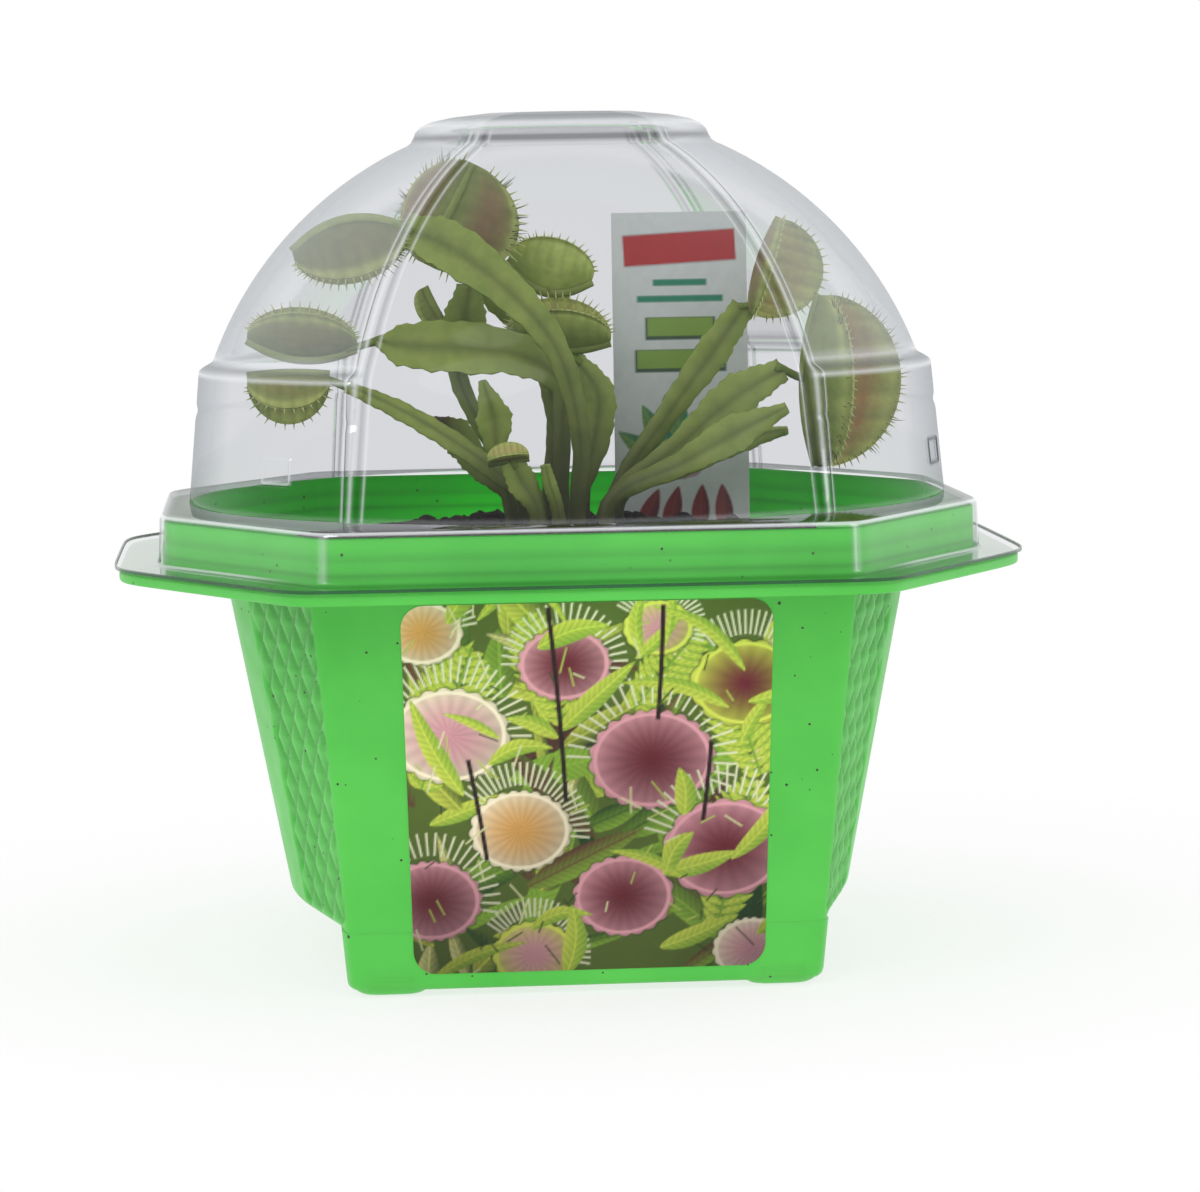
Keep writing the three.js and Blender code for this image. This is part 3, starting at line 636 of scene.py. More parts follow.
def build_lid(dome_material, skirt_material, edge):
    """Dome, the skirt over the collar and flange, and the skirt's cut edge."""
    rings, painted_lines = dome_rings(lid_azimuths())
    faces = tube_faces(*rings.shape[:2], bottom=False)
    make_piece("lid_dome_shell", rings, faces, dome_material, painted_lines, slot="lid", replaces=("lid_dome",))
    radius = DOME_BASE["radius"]
    base = HEADINGS * [radius, radius * DOME_DEPTH_SCALE] + [DOME_X, 0]
    base = np.column_stack([base, np.full(TURNS, 81.95)])
    profile = [(0.05, 72.9), (COLLAR_INSET - 1, 73), (COLLAR_INSET - 0.6, 81.8), (10.6, 82)]
    skirt = np.array([*swept(rounded(profile, 0.9, steps=6)), base])
    faces = grid_faces(len(skirt), TURNS, wrap=True)
    make_piece("lid_skirt", skirt, faces, skirt_material, skirt_painted_lines(skirt), slot="lid")
    rim = swept([(0.35, 72.52), (0, 72.56), (0, 73.1), (0.35, 73.14)])
    make_piece("lid_edge", rim, grid_faces(len(rim), TURNS, wrap=True), edge, slot="lid", flat=True)


# ---- Soil -------------------------------------------------------------------
SOIL_RINGS = 60
CLODS = 520


def heap(share):
    """Height of the heaped soil, from the middle (0) to the wall of the pot (1)."""
    return SOIL_HEAP * (1 - share**2.5)


def build_soil(material):
    """The soil's heaped surface with crumbs on it, above the solid from the CAD model."""
    rng = np.random.default_rng(SEED)
    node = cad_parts["soil"]
    node.data.materials.clear()
    node.data.materials.append(material)
    soup = Soup()
    rings = []
    for share in np.arange(1, SOIL_RINGS + 1) / SOIL_RINGS:
        ring = octagon_ring(body_size(SOIL_TOP, 2.4), SOIL_TOP + 0.2)[0]
        ring[:, :2] *= share
        x, y = ring[:, 0], ring[:, 1]
        swell = 0.35 * np.sin(x / 5.1 + 1) * np.cos(y / 4.3) + 0.3 * np.sin(x / 1.9 + y / 2.3)
        ring[:, 2] += (heap(share) + swell) * (1 - share**8) + rng.normal(0, 0.12, TURNS)
        rings.append(ring)
    soup.add(rings, tube_faces(SOIL_RINGS, TURNS, top=False))
    for _ in range(CLODS):
        size = 0.5 + 1.7 * rng.random() ** 3
        angle, reach = rng.random() * 2 * math.pi, math.sqrt(rng.random())
        z = SOIL_TOP + 0.3 + heap(reach) + size * 0.3
        add_clod(soup, rng, (54 * reach * math.cos(angle), 56 * reach * math.sin(angle), z), size)
    return soup.piece("soil_surface", material, slot="soil")


def add_clod(soup, rng, centre, size):
    """A lumpy crumb: a jittered low ball."""
    rows, columns = 5, 7
    points = []
    for tilt in np.pi * (np.arange(rows) + 0.5) / rows:
        for turn in 2 * np.pi * np.arange(columns) / columns:
            radius = size * (0.75 + 0.5 * rng.random())
            points.append((centre[0] + radius * math.sin(tilt) * math.cos(turn),
                           centre[1] + radius * math.sin(tilt) * math.sin(turn),
                           centre[2] - 0.7 * radius * math.cos(tilt)))
    soup.add(points, tube_faces(rows, columns))


# ---- Printed label and tag --------------------------------------------------
class Canvas:
    """Colours painted by formula on a rectangular grid of points, in millimetres."""

    def __init__(self, width, height, pitch, ground):
        across = np.linspace(-width / 2, width / 2, int(width / pitch) + 1)
        self.x, self.y = np.meshgrid(across, np.linspace(0, height, int(height / pitch) + 1))
        self.pitch = pitch
        self.colour = np.ones((*self.x.shape, 3)) * srgb(*ground)

    def lay(self, depth, colour, share=1.0):
        """Paints where depth is above zero, with soft edges of one pitch."""
        cover = (np.clip(depth / self.pitch + 0.5, 0, 1) * share)[..., None]
        self.colour = blend(self.colour, colour, cover)

    def along(self, x, y, angle):
        """Each point's place along and across a direction from (x, y)."""
        c, s = math.cos(angle), math.sin(angle)
        return (self.x - x) * c + (self.y - y) * s, -(self.x - x) * s + (self.y - y) * c

    def bar(self, u, v, half_width, half_height, colour, share=1.0):
        self.lay(np.minimum(half_width - np.abs(u), half_height - np.abs(v)), srgb(*colour), share)

    def stem(self, x, y, angle, length, width, colour, bend=0.0):
        u, v = self.along(x, y, angle)
        v = v - bend * (u / length) ** 2 * length
        inside = np.minimum(width / 2 - np.abs(v), np.minimum(u, length - u))
        self.lay(inside, srgb(*colour) * (1 - 0.35 * np.clip(v / width + 0.5, 0, 1))[..., None])

    def leaf(self, x, y, angle, length, width, light, dark, bend=0.0):
        """A veined leaf, lighter on one side, with a pale midrib."""
        u, v = self.along(x, y, angle)
        t = np.clip(u / length, 0, 1)
        v = v - bend * np.sin(t * math.pi) * length
        half = width / 2 * np.sin(math.pi * t**0.8) ** 0.8
        shade = np.clip(0.5 + v / (width + 1e-6), 0, 1)[..., None]
        veins = 0.9 + 0.1 * np.cos((u - np.abs(v)) * 5)[..., None]
        colour = blend(srgb(*dark), srgb(*light), shade) * veins
        self.lay(np.where((u > 0) & (u < length), half - np.abs(v), -1), colour)
        midrib = np.where((u > 0) & (u < length * 0.94), 0.03 * width - np.abs(v), -1)
        self.lay(midrib, srgb(*light) * 1.15, 0.7)

    def frond(self, x, y, angle, length, colour, dark):
        """A stem with a row of leaflets on either side."""
        count = int(length / 1.5)
        for k in range(count):
            share = k / count
            reach = length * 0.32 * math.sin(math.pi * (0.12 + 0.86 * share)) ** 0.8
            px, py = x + math.cos(angle) * length * share, y + math.sin(angle) * length * share
            for turn in (-1.05, 1.05):
                self.leaf(px, py, angle + turn, reach, 1.5, colour, dark, bend=0.05 * turn)
        self.stem(x, y, angle, length, 0.5, dark)

    def blossom(self, x, y, radius, pale, deep, petals, turn=0.0):
        """A soft round head, deep in the middle and pale at its frilled edge."""
        dx, dy = self.x - x, self.y - y
        r, a = np.hypot(dx, dy * 1.25), np.arctan2(dy, dx) + turn
        edge = radius * (0.93 + 0.07 * np.abs(np.cos(a * petals / 2)))
        t = np.clip(r / radius, 0, 1)[..., None]
        rays = 0.93 + 0.07 * np.cos(a * petals)[..., None]
        light = np.clip(0.85 + 0.3 * (dy - dx) / radius / 2, 0.5, 1.15)[..., None]
        self.lay(edge + 0.4 - r, srgb(52, 66, 30), 0.5)
        self.lay(edge - r, blend(srgb(*deep), srgb(*pale), t**2) * rays * light)
        self.lay(0.35 - np.abs(r - radius * 0.9), srgb(*pale) * 1.15, 0.8)

    def rays(self, x, y, radius, reach, start, stop, count, colour):
        """A fan of fine stems round (x, y)."""
        for angle in np.linspace(start, stop, count):
            self.stem(x + math.cos(angle) * radius, y + math.sin(angle) * radius, angle, reach, 0.35, colour)


# The label's garden: (x, y, angle, length) of fronds and stems, and (x, y, radius) of blossoms.
FRONDS = ((-29, 33, 1.2, 26), (-4, 44, 1.9, 20), (23, 8, 1.35, 26), (30, 34, 1.9, 24), (8, 46, 0.9, 18))
BLOSSOMS = ((-24, 42, 10.5), (-4, 54, 8), (11, 37, 11), (27, 50, 9.5), (-12, 25, 9), (24, 21, 11),
            (-28, 13, 9), (6, 13, 9), (12, 60, 6), (-28, 60, 7), (-10, 3, 7.5), (29, 3, 7))
STEMS = ((-4, 30, 1.62, 34), (12, 44, 1.5, 20), (-18, 20, 1.7, 18), (20, 26, 1.45, 14))


def paint_label():
    """A made-up bog garden: fronds, broad leaves, soft round blossoms and dark stems."""
    lime, green, dark, moss = (206, 216, 84), (136, 176, 58), (34, 70, 30), (88, 112, 44)
    pink, cream, peach, maroon = (222, 158, 168), (238, 226, 196), (230, 172, 92), (116, 38, 50)
    leaf_tones = [lime, green, (236, 230, 150), (96, 44, 46), (190, 200, 80), dark]
    blossom_tones = [(lime, pink), (cream, pink), (lime, peach), (pink, maroon), (lime, maroon)]
    blossom_tones.append((cream, peach))
    fleck_tones = [(234, 234, 176), (190, 206, 96), (60, 78, 36)]
    art = Canvas(LABEL["top_width"], LABEL["height"], LABEL["pitch"], (84, 104, 40))
    rng = random.Random(SEED)
    half = LABEL["top_width"] / 2

    def somewhere(low=-4, high=64):
        return rng.uniform(-half, half), rng.uniform(low, high)

    for _ in range(90):
        x, y = somewhere(-8, 60)
        tone = rng.choice(leaf_tones)
        shape = rng.uniform(0.1, 3.0), rng.uniform(9, 24), rng.uniform(2, 6)
        art.leaf(x, y, *shape, tone, rng.choice([dark, moss, green]))
    for frond in FRONDS:
        art.frond(*frond, lime, green)
    for x, y, radius in BLOSSOMS:
        if rng.random() < 0.8:
            start, stop = rng.uniform(-0.4, 0.6), rng.uniform(2.2, 3.4)
            art.rays(x, y, radius * 0.9, radius * 0.45, start, stop, 26, (244, 244, 206))
        pale, deep = rng.choice(blossom_tones)
        art.blossom(x, y, radius, pale, deep, petals=rng.choice([14, 18, 22]), turn=rng.random())
    for _ in range(26):
        x, y = somewhere()
        shape = rng.uniform(0.2, 2.9), rng.uniform(8, 20), rng.uniform(1.6, 4.5)
        art.leaf(x, y, *shape, lime, green, rng.uniform(-0.15, 0.15))
    for stem in STEMS:
        art.stem(*stem, 0.8, (44, 28, 26), bend=0.03)
    for _ in range(70):
        x, y = somewhere(0)
        art.stem(x, y, rng.uniform(0.3, 2.8), rng.uniform(1.5, 5), 0.28, rng.choice(fleck_tones))
    # Broad light and shade.
    glow = 0.92 + 0.16 * np.sin(art.x / 9 + 1) * np.cos(art.y / 11) + 0.85 * (art.y / LABEL["height"] - 0.5)
    art.colour = art.colour * glow[..., None]
    return art


def build_label(material):
    """The label, a thin card with round corners that leans with the front wall."""
    art = paint_label()
    tilt = math.atan((BODY_TOP["depth"] - BODY_BOTTOM["depth"]) / (BODY_TOP["z"] - BODY_BOTTOM["z"]))
    height, radius = LABEL["height"], LABEL["radius"]
    u, v = art.x.copy(), art.y - height / 2
    # Points outside the rounded corners are drawn in to the corner's arc.
    cx, cy = LABEL["top_width"] / 2 - radius, height / 2 - radius
    dx, dy = np.clip(np.abs(u) - cx, 0, None), np.clip(np.abs(v) - cy, 0, None)
    away = np.hypot(dx, dy)
    pull = np.where(away > radius, radius / np.maximum(away, 1e-9), 1)
    u = np.sign(u) * (np.minimum(np.abs(u), cx) + dx * pull)
    v = np.sign(v) * (np.minimum(np.abs(v), cy) + dy * pull)
    u *= 1 + (LABEL["bottom_width"] / LABEL["top_width"] - 1) * (0.5 - v / height)
    middle = LABEL["bottom"] + height / 2 * math.cos(tilt)
    up = np.array([0, -math.sin(tilt), math.cos(tilt)])
    out = np.array([0, -math.cos(tilt), -math.sin(tilt)])
    centre = np.array([LABEL["x"], -body_size(middle)["depth"], middle]) + out * LABEL["proud"]
    face = centre + u[..., None] * np.array([1, 0, 0]) + v[..., None] * up
    soup = Soup()
    soup.add(face, grid_faces(*u.shape), art.colour)
    edge = face.reshape(-1, 3)[grid_border(*u.shape)]
    back = [np.arange(len(edge))[::-1] + len(edge)]
    wall_faces = grid_faces(2, len(edge), wrap=True, flip=True) + back
    soup.add([edge, edge - out * LABEL["thickness"]], wall_faces, srgb(225, 228, 222))
    return soup.piece("label_print", material, slot="label", replaces=("front_label",))


def paint_tag():
    """A made-up plant tag: a red heading, lines, two boxes, a flower and a row of leaves."""
    height = TAG["height"]
    art = Canvas(TAG["width"], height, TAG["pitch"], (236, 240, 240))
    red, teal, lime, maroon = (204, 62, 66), (52, 152, 122), (150, 186, 84), (120, 40, 52)
    u, v = art.along(0, height - 6.6, 0.05)
    art.bar(u, v, 10.4, 3.0, (120, 116, 120), 0.5)
    art.bar(u, v, 10.4, 2.8, red)
    for y, half in ((height - 13, 5), (height - 16, 8)):
        art.bar(art.x, art.y - y, half, 0.6, teal)
    for y, half in ((height - 21.5, 6.5), (height - 27.5, 8.5)):
        art.bar(art.x, art.y - y, half, 2.1, (70, 96, 74))
        art.bar(art.x, art.y - y - 0.3, half - 0.4, 1.7, lime)
    for angle in (0.5, 1.0, 1.57, 2.14, 2.64):
        art.leaf(0, height - 47, angle, 13.5, 4.6, lime, teal, bend=0.05)
    art.blossom(0, height - 46, 4.2, (216, 150, 160), maroon, petals=8)
    for x in (-8, -3, 3, 8):
        art.leaf(x, 8, 1.4 + x * 0.03, 9, 3.4, (176, 60, 60), maroon)
    return art


def build_tag(material):
    """The tag, a card printed on its front."""
    art = paint_tag()
    soup = Soup()
    grounds = {-1: art.colour, 1: np.ones_like(art.colour) * srgb(218, 222, 220)}
    half, height = TAG["width"] / 2, TAG["height"]
    walls = []
    for side, ink in grounds.items():
        y = TAG["y"] + side * TAG["half_thickness"]
        points = np.stack([TAG["x"] + art.x, np.full_like(art.x, y), TAG["bottom"] + art.y], axis=-1)
        soup.add(points, grid_faces(*art.x.shape, flip=side > 0), ink)
        loop = ((-half, 0), (half, 0), (half, height), (-half, height))
        walls.append([(TAG["x"] + a, y, TAG["bottom"] + b) for a, b in loop])
    soup.add(walls, grid_faces(2, 4, wrap=True), srgb(214, 216, 214))
    return soup.piece("tag_card", material, slot="tag", replaces=("plant_tag",))


# ---- Plant ------------------------------------------------------------------
# path: middle of the leaf stalk from the soil up; widths: one for each path point; face: the way its upper
# side looks; stalk: where the trap's own stalk leaves a leaf that goes on past it.
# trap: hinge centre, hinge axis, opening direction, length, reach of a lobe, how far the hinge bows back from
# its ends, half angle, teeth to a lobe and their length, fine hairs, how brown the outside and how red the
# inside is, and tone, painted light: how much lighter or darker the outside is painted for how light falls.
LEAVES = [
    dict(root=(2.5, -6.5), face=(-0.25, -0.9, 0.35), widths=(3.2, 3.4, 4.4, 6.2, 9.6, 6),
         path=[(2.6, -7.4, 79.9), (3.4, -8.6, 91.5), (-0.2, -9, 107.4), (-7, -8.6, 116.9), (-20, -7, 127.4),
               (-27.5, -5, 130.3)],
         trap=dict(at=(-37.4, -5, 128.1), axis=(-0.98, 0, -0.2), open=(0.18, -0.15, -1),
                   length=20.8, reach=7.8, bow=3.8, half=24, teeth=22, tooth=1.4, blush=0.15, tone=0.6)),
    dict(root=(-1.2, 10.5), face=(-0.2, -0.95, 0.2), widths=(3, 3.4, 4.4, 5.6, 4),
         path=[(-1.2, 10.5, 81.9), (0, 11, 94.9), (-3, 12, 107.9), (-10.5, 12, 117.9), (-18, 10.5, 125.4)],
         trap=dict(at=(-18.8, 6.2, 132.8), axis=(0.46, 0, 0.89), open=(0.42, 0.89, -0.15),
                   length=20.5, reach=13, bow=0, half=60, teeth=24, tooth=2.2, blush=0.8, hairs=26)),
    dict(root=(4.8, 11), face=(0, -1, 0), widths=(2.8, 3, 3.6, 2.6),
         path=[(4.8, 11, 81.9), (4.8, 12.5, 95.9), (3.6, 14, 107.9), (1.6, 14.5, 117.4)],
         trap=dict(at=(-0.1, 14.5, 122.8), axis=(0.96, 0, -0.27), open=(0.27, 0.1, 0.95),
                   length=16.2, reach=6, bow=4.4, half=28, teeth=17, tooth=1.3, blush=0.12, tone=1.9)),
    dict(root=(3.4, 4.8), face=(0.1, -0.98, 0.1), widths=(3, 6, 6.4, 3.4),
         path=[(3.8, 4.6, 80.9), (6.8, 4.6, 91.9), (7.4, 4.8, 99.9), (3.4, 5.4, 106.1)],
         trap=dict(at=(0.5, 5.6, 110.2), axis=(0.995, 0, -0.06), open=(0, -0.24, 0.94),
                   length=19.4, reach=7.4, bow=2.2, half=27, teeth=22, tooth=1.6, blush=0.1, tone=1.5)),
    dict(root=(0, -0.9), face=(0.05, -0.92, 0.38), widths=(3, 3.2, 4.6, 8, 10.4, 8.4, 1.6),
         path=[(0, -1.1, 80.9), (0.4, -1.6, 93.9), (0.4, -1.6, 101.9), (-6, -2, 106.9), (-18, -3, 108.9),
               (-28.5, -3, 109.5), (-33, -3, 110.3)],
         trap=dict(at=(-46.2, -3, 110.7), axis=(-0.994, 0, 0.1), open=(0.1, -0.12, 0.98),
                   length=20, reach=6.4, bow=3, half=26, teeth=18, tooth=1.4, blush=0.3, tone=0.75)),
    dict(root=(-5, -5.8), face=(0.3, -0.85, 0.45), widths=(3.2, 4, 4.4, 4, 2.4),
         path=[(-5.8, -6, 80.9), (-12, -6.6, 86.5), (-21, -7.2, 93.1), (-30, -7.6, 98.5),
               (-38.5, -7.8, 102.5)],
         trap=dict(at=(-48.8, -8, 104.1), axis=(-1, 0, 0), open=(0.05, -0.34, -0.94),
                   length=15, reach=8.4, bow=0.6, half=28, teeth=14, tooth=1.2, blush=0.3)),
    dict(root=(-5.4, 3.6), face=(0, -1, 0), widths=(2.8, 3.2, 3.4, 9, 4.4),
         path=[(-7, 3.6, 81.9), (-12.6, 4, 91.9), (-18, 4.4, 103.9), (-16.8, 4.4, 112.4),
               (-15.6, 3.2, 119.9)],
         trap=dict(at=(-22.6, 5, 115.9), axis=(-0.45, 0, 0.89), open=(-0.9, 0, 0.3),
                   length=8, reach=3.2, bow=0, half=30, teeth=0, tooth=0),
         stalk=(-17.5, 4.6, 111.5)),
    dict(root=(-8.4, -1.2), face=(0.1, -0.98, 0.1), widths=(2.6, 3, 7, 1.4),
         path=[(-9.4, -1.6, 80.9), (-11.6, -2.4, 88.9), (-12, -3.4, 95.9), (-14, -4.2, 102.9)]),
    dict(root=(-4.6, -11), face=(0.2, -0.95, 0.25), widths=(3.4, 6, 4.4),
         path=[(-5, -11.2, 79.9), (-7.6, -12, 84.9), (-9.6, -12.6, 88.9)],
         trap=dict(at=(-10, -12.8, 89.5), axis=(0.98, 0, 0.12), open=(-0.05, -0.4, 0.9),
                   length=7.6, reach=3, bow=0, half=46, teeth=0, tooth=0, blush=0.9)),
    dict(root=(-0.4, -11.6), face=(0, -1, 0), widths=(2.4, 2.6, 1.8),
         path=[(-1.4, -11.8, 80.4), (-2.6, -12.2, 84.5), (-3.4, -12.4, 88.1)]),
    dict(root=(-7.2, 10.4), face=(0.15, -0.97, 0.15), widths=(2.8, 4.8, 7, 1.4), withered=True,
         path=[(-8.8, 10.8, 80.9), (-14, 11.4, 86.3), (-18.4, 11.8, 92.3), (-22.6, 12, 95.3)]),
    dict(root=(8.6, 3.8), face=(0.3, -0.9, 0.3), widths=(3, 4.2, 6.4, 4.6),
         path=[(10.6, 3.8, 81.9), (19.5, 4.2, 94.9), (28.5, 4.8, 106.9), (34.4, 5, 115.1)],
         trap=dict(at=(38.8, 4.2, 122.3), axis=(0.3, 0, 0.95), open=(0.72, -0.62, -0.3),
                   length=18.6, reach=11, bow=1.5, half=48, teeth=20, tooth=1.6, blush=0.8)),
    dict(root=(6.6, -1.6), face=(0.3, -0.88, 0.36), widths=(3, 4.6, 8, 4.2),
         path=[(8.6, -2.2, 79.9), (21.5, -3.6, 90.5), (32, -4.4, 99.3), (40.4, -4.6, 103.9)],
         trap=dict(at=(47.2, -4.6, 101.7), axis=(0.03, 0, 1), open=(0.85, -0.52, 0),
                   length=31.4, reach=15.4, bow=3, half=38, teeth=30, tooth=1.4, red=0.7, hairs=24)),
    dict(root=(7.6, -7.4), face=(0.25, -0.86, 0.44), widths=(3, 4.6, 7.4, 2),
         path=[(8.8, -7.8, 80.9), (21, -11, 87.5), (30.5, -13, 92.9), (40, -14.4, 97.5)]),
    dict(root=(11, 9.4), face=(0.2, -0.9, 0.4), widths=(2.8, 3.6, 4.8, 1.6),
         path=[(12, 9.6, 80.9), (24, 10.6, 85.7), (35, 11.2, 90.5), (43, 12, 91.9)]),
]

LEAF_GREEN, LEAF_PALE, LEAF_DARK = srgb(124, 146, 58), srgb(176, 188, 104), srgb(58, 78, 30)
STALK_BROWN = srgb(60, 64, 26)
TRAP_GREEN, TRAP_YELLOW = srgb(148, 162, 88), srgb(196, 204, 122)
BLUSH, RED = srgb(150, 108, 90), srgb(172, 66, 66)
CILIA, HAIR, WITHERED = srgb(196, 204, 140), srgb(70, 60, 46), srgb(92, 74, 52)


def unit(vector):
    vector = np.asarray(vector, float)
    return vector / np.linalg.norm(vector)


def centripetal(points, count):
    """Points and tangents along a centripetal Catmull-Rom curve, spaced evenly by parameter."""
    points = [np.asarray(p, float) for p in points]
    padded = [2 * points[0] - points[1], *points, 2 * points[-1] - points[-2]]

    def at(u):
        k = min(int(u), len(points) - 2)
        t = u - k
        p0, p1, p2, p3 = padded[k : k + 4]
        d0, d1, d2 = (max(np.linalg.norm(b - a) ** 0.5, 1e-4) for a, b in ((p0, p1), (p1, p2), (p2, p3)))
        m1 = ((p1 - p0) / d0 - (p2 - p0) / (d0 + d1) + (p2 - p1) / d1) * d1
        m2 = ((p2 - p1) / d1 - (p3 - p1) / (d1 + d2) + (p3 - p2) / d2) * d1
        a, b = 2 * (p1 - p2) + m1 + m2, -3 * (p1 - p2) - 2 * m1 - m2
        return a * t**3 + b * t**2 + m1 * t + p1, 3 * a * t**2 + 2 * b * t + m1

    samples = [at(u) for u in np.linspace(0, len(points) - 1, count)]
    return [s[0] for s in samples], [unit(s[1]) for s in samples]


def add_blade(soup, points, widths, face, colour_at, steps=46, sides=20):
    """A leaf stalk: a lens section with a keel under the midrib and thin, slightly wavy margins."""
    centres, tangents = centripetal(points, steps)
    rings, colours = [], []
    for index, (centre, tangent) in enumerate(zip(centres, tangents)):
        t = index / (steps - 1)
        width = np.interp(t, np.linspace(0, 1, len(widths)), widths)
        thick = max(0.9, 2.4 - 0.2 * width)
        across = unit(np.cross(face, tangent))
        out = unit(np.cross(tangent, across))
        ring, tone = [], []
        for k in range(sides):
            angle = 2 * math.pi * k / sides
            c, s = math.cos(angle), math.sin(angle)
            ragged = 0.05 * math.sin(index * 1.3) + 0.05 * math.sin(index * 3.1 + k)
            spread = c * width / 2 * (1 + ragged * (abs(c) > 0.7))
            groove = 0.22 * math.exp(-((c / 0.25) ** 2)) * (1 if s > 0 else -1.4)
            body = s * thick / 2 * (0.35 + 0.65 * math.sqrt(max(0, 1 - c * c)))
            height = body - groove * min(1, width / 6) + 0.05 * width * (c * c - 0.3)
            ring.append(centre + across * spread + out * height)
            tone.append(colour_at(t, c, s))
        rings.append(ring)
        colours.append(tone)
    soup.add(rings, tube_faces(steps, sides), colours)


def add_hair(soup, root, tip, curl, radius, colour, steps=5, sides=5):
    """A tapering curved bristle."""
    axis = unit(tip - root)
    side = unit(np.cross(axis, curl + 1e-3 * np.array([0.3, 0.5, 0.7])))
    other = np.cross(axis, side)
    rings, colours = [], []
    for t in np.linspace(0, 1, steps):
        centre = root + (tip - root) * t + curl * t * t
        size = radius * (1 - 0.88 * t)
        for j in range(sides):
            angle = 2 * math.pi * j / sides
            rings.append(centre + (side * math.cos(angle) + other * math.sin(angle)) * size)
            colours.append(colour * (0.9 + 0.25 * t))
    soup.add(rings, tube_faces(steps, sides), colours)


def trap_frame(trap):
    """Unit vectors along the hinge and the way the trap opens."""
    axis = unit(trap["axis"])
    opened = np.array(trap["open"], float)
    return axis, unit(opened - axis * opened.dot(axis))


def hinge_at(trap, along):
    """A point of the hinge, from one end (-1) to the other (1)."""
    axis, opened = trap_frame(trap)
    place = np.array(trap["at"], float) + axis * along * trap["length"] / 2
    return place - opened * trap["bow"] * (1 - along**2)


TRAP_COLUMNS, TRAP_ROWS = 30, 11  # steps along a lobe, and from the hinge to its margin


def lobe_inks(trap, i, j, along, height):
    """Colours of a lobe's outside and inside at a point of its grid."""
    mottled = 0.5 + 0.5 * math.sin(i * 0.9 + j * 1.7) * math.cos(i * 1.3 - j)
    stripes = 0.5 + 0.5 * math.sin(i * 2.1)
    # The trap's tone is painted light: its outside is painted lighter or darker for how light falls on it.
    outside = TRAP_GREEN * (0.8 + 0.16 * mottled + 0.2 * stripes * height) * trap.get("tone", 1.0)
    glow = trap.get("blush", 0.0) * (1 - height**4) * smooth(0.05, 0.5, height) * (1 - along**4)
    outside = blend(outside, BLUSH, glow)
    margin = 0.75 * smooth(0.78, 0.95, height)
    outside = blend(outside, TRAP_YELLOW * (0.85 + 0.3 * stripes), margin)
    outside = outside * (0.82 + 0.18 * smooth(0.0, 0.14, height))
    throat = trap.get("red", 0.35) * smooth(0.95, 0.62, height) * (1 - along**6) * (0.45 + 0.55 * mottled)
    return outside, blend(TRAP_YELLOW * (0.8 + 0.35 * stripes), RED * (0.85 + 0.3 * mottled), throat)


